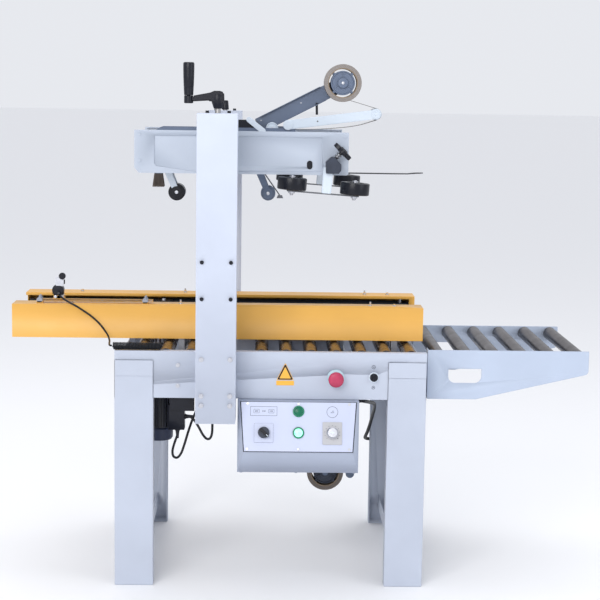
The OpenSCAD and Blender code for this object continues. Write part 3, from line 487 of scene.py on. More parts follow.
leadPoints = [(-569, -140, 745), (-566, -148, 743), (-560, -157, 739), (-550, -163, 733), (-538, -166,
        726),
    (-522, -167, 718), (-503, -167, 706), (-485, -167, 694), (-468, -168, 680), (-454, -171, 666),
    (-443, -180, 654), (-434, -196, 645), (-428, -218, 639), (-424, -244, 636), (-422, -270, 635),
    (-420, -290, 635), (-418.5, -301, 635), (-416, -308, 635), (-412.5, -311, 635), (-409.2, -311, 635)]
motorLeadPoints = [(-220.8, -280, 444), (-212, -280, 444), (-200, -284, 436), (-188, -292, 420), (-176,
        -302, 401),
    (-165, -313, 392), (-156, -323, 396), (-151, -330, 410), (-150, -334, 430), (-150, -335, 450),
    (-150, -335, 470)]
supplyPoints = [(-243, -280, 407), (-243, -280, 396), (-250, -279, 375), (-256, -277, 352), (-254, -274,
        336),
    (-244, -270, 331), (-234, -266, 342), (-226, -262, 364), (-216, -258, 398), (-206, -254, 428),
    (-196, -250, 452), (-186, -246, 476), (-180, -243, 500), (-178, -240, 519.5)]
conduitPoints = [(230, -170, 470), (238, -170, 470), (250, -160, 466), (264, -130, 458), (278, -80, 446),
    (290, -10, 430), (299, 70, 408), (303, 140, 380), (302, 195, 348), (299, 240, 314), (295, 275, 286),
    (291, 302, 266), (292, 322, 256), (302, 334, 251), (317, 338, 250), (331, 338, 248), (340, 337, 243),
    (344, 336, 232), (344, 336, 219.2)]
coil = {"turns": 34, "radius": 8.2, "wire": 1.75, "from": -409, "to": -284, "y": -311, "z": 634.6}


def makeCords():
    lead = smoothPath(leadPoints[:-1], 5)
    turns = []
    steps = 14
    total = coil["turns"] * steps
    for k in range(total + 1):
        angle = 2 * math.pi * k / steps - math.pi / 2
        ease = min(1.0, k / 5, (total - k) / 5)
        r = coil["radius"] * (0.25 + 0.75 * ease)
        turns.append(Vector((coil["from"] + (coil["to"] - coil["from"]) * k / total,
                             coil["y"] + r * math.cos(angle), coil["z"] + r * math.sin(angle))))
    leadPiece = cordTube("sensorLead", lead, 2.5, None, looks["cable"], ("sensor_lead",))
    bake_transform(leadPiece)
    coilPiece = cordTube("sensorCoil", turns, coil["wire"], "root", looks["cable"], ("sensor_coil",), 8)
    for name, points, radius, node in (("motorLead", motorLeadPoints, 3.2, "motor_lead"),
                                       ("supplyLead", supplyPoints, 3.2, "supply_lead"),
                                       ("supplyConduit", conduitPoints, 5.0, "conduit")):
        path = smoothPath(points)
        piece = cordTube(name, path, radius, "root", looks["cable"], (node,), 16)


makeCords()
print("cords made")


# repeated small parts, by geometry nodes
def newTree(name, sizes):
    tree = bpy.data.node_groups.new(name, "GeometryNodeTree")
    tree.interface.new_socket(name="Geometry", in_out="INPUT", socket_type="NodeSocketGeometry")
    sockets = {}
    for label, kind, value in sizes:
        socket = tree.interface.new_socket(name=label, in_out="INPUT", socket_type=kind)
        if kind != "NodeSocketMaterial":
            socket.default_value = value
        sockets[label] = socket.identifier
    tree.interface.new_socket(name="Geometry", in_out="OUTPUT", socket_type="NodeSocketGeometry")
    return tree, sockets, tree.nodes.new("NodeGroupInput"), tree.nodes.new("NodeGroupOutput")


def endTree(tree, source, groupIn, groupOut):
    realize = tree.nodes.new("GeometryNodeRealizeInstances")
    paint = tree.nodes.new("GeometryNodeSetMaterial")
    tree.links.new(source, realize.inputs[0])
    tree.links.new(realize.outputs[0], paint.inputs["Geometry"])
    tree.links.new(groupIn.outputs["Material"], paint.inputs["Material"])
    tree.links.new(paint.outputs[0], groupOut.inputs[0])


# stands a shape on each point along its aim, and its Y side upwards if upright
def placeOnPoints(tree, groupIn, shape, upright=False):
    aim = tree.nodes.new("GeometryNodeInputNamedAttribute")
    aim.data_type = "FLOAT_VECTOR"
    aim.inputs["Name"].default_value = "aim"
    turn = tree.nodes.new("FunctionNodeAlignRotationToVector")
    turn.axis = "Z"
    tree.links.new(aim.outputs["Attribute"], turn.inputs["Vector"])
    if upright:
        first = turn
        turn = tree.nodes.new("FunctionNodeAlignRotationToVector")
        turn.axis = "Y"
        turn.pivot_axis = "Z"
        turn.inputs["Vector"].default_value = (0, 0, 1)
        tree.links.new(first.outputs["Rotation"], turn.inputs["Rotation"])
    stand = tree.nodes.new("GeometryNodeInstanceOnPoints")
    tree.links.new(groupIn.outputs["Geometry"], stand.inputs["Points"])
    tree.links.new(shape, stand.inputs["Instance"])
    tree.links.new(turn.outputs["Rotation"], stand.inputs["Rotation"])
    return stand


# cylinder standing on its base, sizes from the tree's inputs
def liftedCylinder(tree, groupIn, sides, radius, height, base=None):
    body = tree.nodes.new("GeometryNodeMeshCylinder")
    if isinstance(sides, int):
        body.inputs["Vertices"].default_value = sides
    else:
        tree.links.new(groupIn.outputs[sides], body.inputs["Vertices"])
    tree.links.new(groupIn.outputs[radius], body.inputs["Radius"])
    tree.links.new(groupIn.outputs[height], body.inputs["Depth"])
    half = tree.nodes.new("ShaderNodeMath")
    half.operation = "MULTIPLY"
    half.inputs[1].default_value = 0.5
    tree.links.new(groupIn.outputs[height], half.inputs[0])
    total = half.outputs[0]
    if base:
        add = tree.nodes.new("ShaderNodeMath")
        add.operation = "ADD"
        tree.links.new(total, add.inputs[0])
        tree.links.new(groupIn.outputs[base], add.inputs[1])
        total = add.outputs[0]
    offset = tree.nodes.new("ShaderNodeCombineXYZ")
    tree.links.new(total, offset.inputs["Z"])
    lift = tree.nodes.new("GeometryNodeTransform")
    tree.links.new(body.outputs["Mesh"], lift.inputs["Geometry"])
    tree.links.new(offset.outputs[0], lift.inputs["Translation"])
    return lift.outputs[0]


def makeBoltTree():
    tree, sockets, groupIn, groupOut = newTree("boltHeads", (
        ("Head Radius", "NodeSocketFloat", 0.005), ("Head Height", "NodeSocketFloat", 0.004),
        ("Head Sides", "NodeSocketInt", 6), ("Washer Radius", "NodeSocketFloat", 0.007),
        ("Washer Height", "NodeSocketFloat", 0.0012), ("Material", "NodeSocketMaterial", None)))
    join = tree.nodes.new("GeometryNodeJoinGeometry")
    washer = liftedCylinder(tree, groupIn, 24, "Washer Radius", "Washer Height")
    head = liftedCylinder(tree, groupIn, "Head Sides", "Head Radius", "Head Height", "Washer Height")
    tree.links.new(washer, join.inputs[0])
    tree.links.new(head, join.inputs[0])
    stand = placeOnPoints(tree, groupIn, join.outputs[0])
    endTree(tree, stand.outputs[0], groupIn, groupOut)
    return tree, sockets


def makeBristleTree():
    tree, sockets, groupIn, groupOut = newTree("brushBristles", (
        ("Length", "NodeSocketFloat", 0.03), ("Radius", "NodeSocketFloat", 0.0006),
        ("Spread", "NodeSocketFloat", 0.3), ("Seed", "NodeSocketInt", 5),
        ("Material", "NodeSocketMaterial", None)))
    cone = tree.nodes.new("GeometryNodeMeshCone")
    cone.inputs["Vertices"].default_value = 5
    cone.inputs["Radius Top"].default_value = 0.0002
    tree.links.new(groupIn.outputs["Radius"], cone.inputs["Radius Bottom"])
    tree.links.new(groupIn.outputs["Length"], cone.inputs["Depth"])
    stand = placeOnPoints(tree, groupIn, cone.outputs["Mesh"])
    lean = tree.nodes.new("FunctionNodeRandomValue")
    lean.data_type = "FLOAT_VECTOR"
    negative = tree.nodes.new("ShaderNodeMath")
    negative.operation = "MULTIPLY"
    negative.inputs[1].default_value = -1.0
    tree.links.new(groupIn.outputs["Spread"], negative.inputs[0])
    for value, socket in ((negative.outputs[0], "Min"), (groupIn.outputs["Spread"], "Max")):
        joined = tree.nodes.new("ShaderNodeCombineXYZ")
        for axis in ("X", "Y"):
            tree.links.new(value, joined.inputs[axis])
        tree.links.new(joined.outputs[0], lean.inputs[socket])
    tree.links.new(groupIn.outputs["Seed"], lean.inputs["Seed"])
    tilt = tree.nodes.new("GeometryNodeRotateInstances")
    tree.links.new(stand.outputs[0], tilt.inputs["Instances"])
    tree.links.new(lean.outputs["Value"], tilt.inputs["Rotation"])
    endTree(tree, tilt.outputs[0], groupIn, groupOut)
    return tree, sockets


# flat ribs standing round an axis along Z
def makeFinTree():
    tree, sockets, groupIn, groupOut = newTree("ribRing", (
        ("Rib Depth", "NodeSocketFloat", 0.006), ("Rib Width", "NodeSocketFloat", 0.002),
        ("Rib Length", "NodeSocketFloat", 0.1), ("Material", "NodeSocketMaterial", None)))
    rib = tree.nodes.new("GeometryNodeMeshCube")
    size = tree.nodes.new("ShaderNodeCombineXYZ")
    for axis, label in (("X", "Rib Width"), ("Y", "Rib Length"), ("Z", "Rib Depth")):
        tree.links.new(groupIn.outputs[label], size.inputs[axis])
    tree.links.new(size.outputs[0], rib.inputs["Size"])
    stand = placeOnPoints(tree, groupIn, rib.outputs["Mesh"], upright=True)
    endTree(tree, stand.outputs[0], groupIn, groupOut)
    return tree, sockets


# points of (mm place, aim) through a tree to one plain mesh
def growOn(name, tree, sockets, points, sizes, material, body, slotName, replaced=()):
    seed = bpy.data.meshes.new(name + "Points")
    seed.from_pydata([place(*p) for p, aim in points], [], [])
    aims = seed.attributes.new("aim", "FLOAT_VECTOR", "POINT")
    for k, (p, aim) in enumerate(points):
        aims.data[k].vector = Vector(aim).normalized()
    holder = bpy.data.objects.new(name + "Holder", seed)
    bpy.context.collection.objects.link(holder)
    modifier = holder.modifiers.new("grow", "NODES")
    modifier.node_group = tree
    for label, value in sizes.items():
        modifier[sockets[label]] = value
    modifier[sockets["Material"]] = material
    bpy.context.view_layer.update()
    graph = bpy.context.evaluated_depsgraph_get()
    mesh = bpy.data.meshes.new_from_object(holder.evaluated_get(graph), depsgraph=graph)
    holder.modifiers.clear()
    bpy.data.objects.remove(holder)
    mesh.name = name
    return finishPiece(name, mesh, body, replaced, 40)


boltTree = makeBoltTree()
bristleTree = makeBristleTree()
finTree = makeFinTree()


def bolts(name, points, radius, height, material, body, slotName="zinc_steel", sides=6, washer=1.35,
        replaced=()):
    return growOn(name, *boltTree, points, {"Head Radius": radius / 1000, "Head Height": height / 1000,
                  "Head Sides": sides, "Washer Radius": radius * washer / 1000, "Washer Height": 0.0012},
                  material, body, slotName, replaced)


front, back, up = (0, -1, 0), (0, 1, 0), (0, 0, 1)

# frame
frameSizes = {"edge": 1.6, "bandLow": 558, "bandTop": 600, "legX": (-404, -304, 304, 404), "legY": 322}


def makeFrame():
    cadCopy("leg_frames", "legFrames", "root", (looks["frame"],), frameSizes["edge"])
    cadCopy("bed_sides", "bedSides", "root", (looks["frame"],), 1.4)
    cadCopy("columns", "liftColumns", "root", (looks["column"],), 2.4, segments=3)
    cadCopy("extension_sides", "extensionSides", "root", (looks["extension"],), 0.9)

    def memberLook(low, high):
        if high.y - low.y > 200 and high.x - low.x > 21:
            return 0
        return 1 if high.x - low.x < 40 and high.z - low.z < 22 else 0
    cadCopy("cross_members", "crossMembers", "root", (looks["frame"], looks["rod"]), 0.8,
            memberLook)
    bands = bmesh.new()
    for side in (-1, 1):
        for x0, x1 in ((-404, -304), (304, 404)):
            y = frameSizes["legY"]
            addBox(bands, (x0 + 0.5, min(side * y, side * (y + 1.4)), frameSizes["bandLow"]),
                   (x1 - 0.5, max(side * y, side * (y + 1.4)), frameSizes["bandTop"] - 0.4), 0.7)
    finishPiece("legBands", bands, "root", look="frame")
    points = []
    for side, aim in ((-1, front), (1, back)):
        for dx in (-36, 37):
            for z in (863, 770):
                points.append(((columnX + dx, side * 400.2, z), aim))
    bolts("columnScrews", points, 4.6, 3.6, looks["plastic"], "root", replaced=("frame_bolts",),
            sides=16, washer=1.1)
    points = []
    for side, aim in ((-1, front), (1, back)):
        for dx in (-36, 37):
            for z in (bedTop - 8, bedTop - 102, bedTop - 127):
                points.append(((columnX + dx, side * 400.2, z), aim))
    bolts("columnBolts", points, 4.8, 3.8, looks["zinc"], "root")
    points = []
    for side, aim in ((-1, front), (1, back)):
        for z in (bedTop - 37, bedTop - 91):
            points.append(((-240.5, side * 320.2, z), aim))
    bolts("sideBolts", points, 4.2, 3.0, looks["zinc"], "root")
    points = [((columnX + dx, side * 342, 1235.2), up) for side in (-1, 1) for dx in (-27, 28)]
    bolts("capScrews", points, 4.6, 4.6, looks["plastic"], "root", sides=16, washer=1.1)
    for group, count, look in (("bed_roller", 10, "roller"), ("ext_roller", 6, "extRoller")):
        for k in range(1, count + 1):
            mesh = nodes[f"{group}_{k}"].data
            mesh.materials.clear()
            mesh.materials.append(looks[look])
            mesh.shade_smooth()
            mesh.set_sharp_from_angle(angle=math.radians(35))


makeFrame()
print("frame made")


# side guards, belts and drives
guard = {"x0": -692.0, "railX": (-622, -339), "switchX": -570}
drive = {"x": -305.5, "y": 114.0, "pulley": 27.0, "belt": 4.0, "low": 650.5, "tall": 50.0,
         "ends": (-653.0, 369.0), "motorY": 62.0, "motorLow": 334.0, "gearLow": 523.0, "gearTop": 575.0,
         "ribs": 34, "ribRing": 37.2}


def makeGuard(side, body, node, tag):
    def guardLook(low, high):
        size = high - low
        if size.x > 1000:
            return 0
        post = low.z < 600 or (size.x < 14 and size.z > 40)
        return 1 if post or low.z <= 700 else None
    cadCopy(node, "guardCover" + tag, body, (looks["yellow"], looks["zinc"]), 1.6,
            guardLook, 3)
    y = lambda value: side * value
    points = [((x, y(123.5), guardTop + 0.1), up) for x in (-537, -244.5, -180.5, 267.5, 332.5)]
    bolts("guardScrews" + tag, points, 3.6, 3.4, looks["zinc"], body, sides=16, washer=1.5)
    # washers and standing studs
    studs = bmesh.new()
    for x in (-244.5, 267.5):
        addTurned(studs, (x, y(123.5), guardTop + 4), (0, 0, 1), [(2.4, 0), (2.4, 7), (0, 8)],
                segments=16)
    finishPiece("guardStuds" + tag, studs, body, look="zinc")


def makeBelt(side, body, node, pulleyBody, pulleyNode, tag):
    y0 = side * drive["y"]
    r0, r1 = drive["pulley"] + 0.4, drive["pulley"] + drive["belt"]
    loop = []
    for x, base in ((drive["ends"][0], math.pi / 2), (drive["ends"][1], -math.pi / 2)):
        loop += [(x, base + math.pi * k / 14) for k in range(15)]
    belt = bmesh.new()
    rings = []
    z0, z1 = drive["low"], drive["low"] + drive["tall"]
    # inner and outer walls with a shallow groove near each edge of the outer face
    section = [(r0, z0), (r1 - 0.8, z0), (r1, z0 + 0.8), (r1, z0 + 5), (r1 - 0.7, z0 + 6), (r1 - 0.7,
            z1 - 6),
               (r1, z1 - 5), (r1, z1 - 0.8), (r1 - 0.8, z1), (r0, z1)]
    for x, a in loop:
        rings.append([belt.verts.new((x + r * math.cos(a), y0 + r * math.sin(a), z)) for r, z in section])
    skinRings(belt, rings, closed=True)
    bmesh.ops.recalc_face_normals(belt, faces=belt.faces)
    finishPiece("sideBelt" + tag, belt, body, (node,), look="belt")
    parts = bmesh.new()
    x, z = drive["x"], drive["low"]
    drum = [(8, 1), (drive["pulley"] - 1, 1), (drive["pulley"], 2.5), (drive["pulley"] + 0.2, 25),
            (drive["pulley"], 47.5), (drive["pulley"] - 1, 49), (8, 49)]
    addTurned(parts, (x, y0, z), (0, 0, 1), drum)
    addTurned(parts, (x, y0, 0), (0, 0, 1), [(8, drive["gearTop"] - 2), (8, z + 5)], segments=32)
    addTurned(parts, (x, y0, 0), (0, 0, 1), [(7, z + 49), (7, z + 54), (6, z + 55)], segments=24)
    finishPiece("driveDrum" + tag, parts, body, look="zinc")
    gear = bmesh.new()
    lowY, highY = sorted((side * 26.0, side * 122.0))
    addBox(gear, (x - 28, lowY, drive["gearLow"]), (x + 28, highY, drive["gearTop"]), 5)
    addTurned(gear, (x, y0, drive["gearTop"] - 1), (0, 0, 1), [(16, 0), (16, 1.0), (12, 2.0)],
            segments=32)
    my = side * drive["motorY"]
    low = drive["motorLow"]
    addTurned(gear, (x, my, 0), (0, 0, 1), [(34, low + 36), (36, low + 38), (36, drive["gearLow"] - 12),
              (40, drive["gearLow"] - 11), (40, drive["gearLow"] + 1)], segments=48)
    finishPiece("gearMotor" + tag, gear, body, (node,), look="navy")
    cap = bmesh.new()
    addTurned(cap, (x, my, 0), (0, 0, 1), [(22, low), (34, low + 2), (38, low + 8), (38.5, low + 34),
            (36, low + 37)],
              segments=48)
    finishPiece("motorCap" + tag, cap, body, look="navyCap")
    ribs = []
    for k in range(drive["ribs"]):
        a = 2 * math.pi * k / drive["ribs"]
        ribs.append(((x + drive["ribRing"] * math.cos(a), my + drive["ribRing"] * math.sin(a),
                      (low + 38 + drive["gearLow"] - 12) / 2),
                     (math.cos(a), math.sin(a), 0)))
    growOn("motorRibs" + tag, *finTree, ribs, {"Rib Width": 0.0018, "Rib Depth": 0.0044,
           "Rib Length": (drive["gearLow"] - low - 54) / 1000}, looks["navy"], body, "motor_paint")
    wheel = bmesh.new()
    inner = drive["pulley"]
    addTurned(wheel, (drive["ends"][0], y0, z), (0, 0, 1), [(6.05, 1), (inner - 1, 1), (inner, 2.5),
              (inner, 47.5), (inner - 1, 49), (14, 49), (13, 46), (6.05, 46)], segments=48, closed=True)
    finishPiece("endPulley" + tag, wheel, pulleyBody, (pulleyNode,), look="zinc")


def makeSwitch():
    x, y, z = guard["switchX"], -123.5, guardTop
    rail = bmesh.new()
    x0, x1 = guard["x0"] + 62, guard["x0"] + 373
    addPrism(rail, roundedOutline([(x0, y - 10), (x1, y - 10), (x1, y + 10), (x0, y + 10)], 2), z + 4.5,
            z + 7, 0.5, axis="Z")
    for lowY, highY in ((y - 10, y - 3.5), (y + 3.5, y + 10)):
        addBox(rail, (x0, lowY, z + 6.9), (x1, highY, z + 11), 0.8)
    for xe in guard["railX"]:
        addBox(rail, (xe - 8, y - 14, z + 0.2), (xe + 8, y + 14, z + 12.2), 1.4)
        addTurned(rail, (xe, y - 6, z + 12), (0, 0, 1), [(5, 0), (5, 3), (2.5, 3.4), (2.5, 8), (0, 9)],
                segments=18)
        addTurned(rail, (xe + 1, y + 7, z + 12), (0, 0, 1), [(4.4, 0), (4.4, 4), (2, 4.6), (2, 9), (0,
                10)], segments=18)
    finishPiece("switchRail", rail, "front_guard", look="railGrey")
    body = bmesh.new()
    addTurned(body, (x - 3, y - 14.2, z + 35), (0, 1, 0), [(6, -1), (14, 0), (15.5, 2), (15.5, 24),
            (13.5, 26)], segments=32)
    addBox(body, (x - 18, y - 11, z + 21), (x + 12, y + 11, z + 36), 3)
    finishPiece("switchBody", body, "front_guard", look="plastic")
    clamp = bmesh.new()
    addBox(clamp, (x - 14, y - 14, z + 11.2), (x + 14, y + 14, z + 21), 1.5)
    addBox(clamp, (x - 9, y - 14.4, z + 46), (x + 13, y - 9, z + 71), 1.2)
    addBox(clamp, (x - 6, y - 9.2, z + 49), (x + 10, y + 4, z + 57), 1)
    addTurned(clamp, (x + 9, y - 15, z + 18), (0, -1, 0), [(4, -1), (4, 2), (0, 2.4)], segments=16)
    addTurned(clamp, (x - 9, y - 15, z + 18), (0, -1, 0), [(4, -1), (4, 2), (0, 2.4)], segments=16)
    finishPiece("switchBracket", clamp, "front_guard", look="zinc")
    knob = bmesh.new()
    addTurned(knob, (x + 10, y - 14, z + 74), (0, -1, 0), [(3.2, -14), (3.2, 0), (8.6, 0), (9.2, 1),
            (9.2, 7), (8.2, 8.2)],
              segments=14)
    finishPiece("switchKnob", knob, "front_guard", look="plastic")
    lever = bmesh.new()
    addTurned(lever, (x, y + 2, z + 49.5), (0, 0, 1), [(8, 0), (8, 8), (7, 9)], segments=28)
    addPrism(lever, linkOutline(x, y + 2, x, y + 46, 3.2), z + 51, z + 54, 0.6, axis="Z")
    addTurned(lever, (x, y + 46, z + 45), (0, 0, 1), [(2, 0), (8, 0), (9, 1), (9, 11), (8, 12), (2, 12)],
              segments=28, closed=True)
    finishPiece("switchLever", lever, "switch_lever", ("switch_lever",), look="plastic")
    gland = bmesh.new()
    addTurned(gland, (-569, -138, 745), (0, -1, 0.3), [(5.5, -3), (5.5, 3), (4.5, 4), (3.4, 12), (3,
            14)], segments=20)
    finishPiece("switchGland", gland, "front_guard", look="plastic")


makeGuard(-1, "front_guard", "guard_front", "Front")
makeGuard(1, "rear_guard", "guard_rear", "Rear")
makeBelt(-1, "front_guard", "belt_drive_front", "front_pulley", "pulley_front", "Front")
makeBelt(1, "rear_guard", "belt_drive_rear", "rear_pulley", "pulley_rear", "Rear")
makeSwitch()
print("guards made")

# lift: crank, screws, head frame
lift = {"pitch": 5.0, "radius": 10.0, "low": 460.0, "top": 1228.0, "gripX": -214.0, "hubZ": 1259.0}


# bar with a helical groove
def addThread(build, x, y, low, high, radius, pitch, depth=0.7, segments=20):
    rows = int((high - low) / (pitch / 5))
    rings = []
    for i in range(rows + 1):
        z = low + (high - low) * i / rows
        ring = []
        for k in range(segments):
            a = 2 * math.pi * k / segments
            phase = (z / pitch - k / segments) % 1.0
            r = radius - depth * max(0.0, min(1.0, 2.4 * abs(phase - 0.5) - 0.3))
            ring.append(build.verts.new((x + r * math.cos(a), y + r * math.sin(a), z)))
        rings.append(ring)
    skinRings(build, rings)


def makeLift():
    y = -columnY
    for side, body, node, name in ((-1, "crank", "crank", "liftScrewFront"), (1, "rear_screw",
            "screw_rear", "liftScrewRear")):
        bar = bmesh.new()
        addThread(bar, columnX, side * columnY, lift["low"], lift["top"], lift["radius"], lift["pitch"])
        top = 1260 if side < 0 else 1262
        addTurned(bar, (columnX, side * columnY, 0), (0, 0, 1), [(7, lift["top"] - 2), (7, top)],
                segments=28)
        finishPiece(name, bar, body, (node,), look="screwThread")
    cap = bmesh.new()
    addTurned(cap, (columnX, columnY, 0), (0, 0, 1), [(7.1, 1237.5), (10.6, 1237.5), (10.8, 1240), (9,
            1262), (7.4, 1264.5),
              (0, 1265)], segments=32)
    finishPiece("rearScrewCap", cap, "rear_screw", look="plastic")
    arm = bmesh.new()
    outline = [(-206, 1263), (-204, 1277.5), (-160, 1286), (-150, 1290.5), (-136, 1290.5), (-125.5, 1287),
               (-124.5, 1262), (-129, 1257.5), (-156, 1262), (-161, 1266)]
    addPrism(arm, outline, y - 13, y + 13, 3.0)
    addTurned(arm, (columnX, y, 0), (0, 0, 1), [(8, 1246), (10.5, 1247), (14.5, 1259), (15.4, 1261),
            (15.4, 1279),
              (12, 1286)], segments=40)
    addTurned(arm, (lift["gripX"], y, 0), (0, 0, 1), [(9, 1258.5), (11.5, 1260), (11.5, 1277), (10,
            1278.3)], segments=36)
    addTurned(arm, (lift["gripX"], y, 0), (0, 0, 1), [(4, 1270), (4, 1336)], segments=20)
    finishPiece("crankArm", arm, "crank", look="plastic")
    grip = bmesh.new()
    profile = [(4.05, 1278.6), (10.4, 1278.6), (11.6, 1280), (12.4, 1296), (12.6, 1298), (12.0, 1299),
            (12.7, 1300),
               (13.6, 1325), (14, 1344), (14, 1356), (13.2, 1359), (11, 1360.4), (0, 1360.6)]
    addTurned(grip, (lift["gripX"], y, 0), (0, 0, 1), profile + [(0, 1338), (4.05, 1338)], segments=44,
            closed=True)
    finishPiece("crankGrip", grip, "crank_grip", ("crank_grip",), look="plastic")


def makeHead():
    cadCopy("head_frame", "headFrame", "head", (looks["head"],), 1.5, segments=3)
    plugs = bmesh.new()
    for side in (-1, 1):
        outline = []
        for k in range(25):
            a = 2 * math.pi * k / 24
            outline.append((96 + 7.4 * math.cos(a),
                    headLow + 26 + (4 if math.sin(a) > 0 else -4) + 7.4 * math.sin(a)))
        outer = sorted((side * 188.4, side * 185.4))
        addPrism(plugs, outline[:-1], outer[0], outer[1], 0.6)
    finishPiece("headGrommets", plugs, "head", look="plastic")
    points = []
    for side, aim in ((-1, front), (1, back)):
        for x, z in ((-350, headTop - 12), (-350, headLow + 32), (188, headTop - 12)):
            points.append(((x, side * 190.1, z), aim))
    bolts("headScrews", points, 3.2, 2.0, looks["head"], "head", "light_paint", sides=18, washer=1.05)


makeLift()
makeHead()
print("lift and head made")

# upper taping unit
reel = {"x": 188.0, "z": headTop + 130, "tape": 51.0, "core": 38.0, "width": 50.0}
brush = {"rows": 10, "columns": 24, "x": -322.5, "y": -24, "rowPitch": 2.1, "columnPitch": 2.087}
tension = {"x": 40.0, "z": headTop + 15, "endX": 279.0, "endZ": headTop + 47}


# a box that points outwards from the hub's middle at an angle
def addHubBlock(hub, x, z, degrees, low, high, bevel):
    a = math.radians(degrees)
    out, along = Vector((math.cos(a), 0, math.sin(a))), Vector((-math.sin(a), 0, math.cos(a)))
    before = set(hub.verts[:])
    addBox(hub, low, high, bevel)
    for v in [v for v in hub.verts if v not in before]:
        v.co = Vector((x, 0, z)) + along * v.co.x + Vector((0, v.co.y, 0)) + out * v.co.z


def makeRoll(name, body, node, x, z, tapeLook, hubLook):
    tape = bmesh.new()
    r, c, w = reel["tape"], reel["core"], reel["width"] / 2
    addTurned(tape, (x, 0, z), (0, 1, 0), [(c + 2.6, -w), (r - 0.8, -w), (r, -w + 0.6), (r, w - 0.6),
            (r - 0.8, w),
              (c + 2.6, w)], segments=72, closed=True)
    finishPiece(name + "Tape", tape, body, (node,), materials=(tapeLook,))
    card = bmesh.new()
    addTurned(card, (x, 0, z), (0, 1, 0), [(c, -w + 0.4), (c + 2.7, -w + 0.2), (c + 2.7, w - 0.2), (c,
            w - 0.4)],
              segments=72, closed=True)
    finishPiece(name + "Core", card, body, look="core")
    hub = bmesh.new()
    addTurned(hub, (x, 0, z), (0, 1, 0), [(8.05, -w + 2), (15, -w + 2), (16, -w + 5), (29, -w + 5), (30,
            -w + 2),
              (32.4, -w + 2), (33, -w + 3), (33, w - 3), (32, w - 2), (8.05, w - 2)], segments=56,
                  closed=True)
    for k in range(4):
        addHubBlock(hub, x, z, 45 + 90 * k, (-3.2, -w + 4, 31), (3.2, w - 4, c + 0.4), 0.8)
    for k in range(3):
        addHubBlock(hub, x, z, 90 + 120 * k, (-1.1, -w + 2.6, 15), (1.1, -w + 6, 30.5), 0.3)
    bmesh.ops.recalc_face_normals(hub, faces=hub.faces)
    finishPiece(name + "Hub", hub, body, materials=(hubLook,))


# thin dark ring that stands for a shaded groove: painted shade
def addShadeRing(build, x, z, y, outer, inner, thick=0.5):
    addTurned(build, (x, y, z), (0, 1, 0), [(inner, 0), (outer, 0), (outer, thick), (inner, thick)],
            segments=40, closed=True)


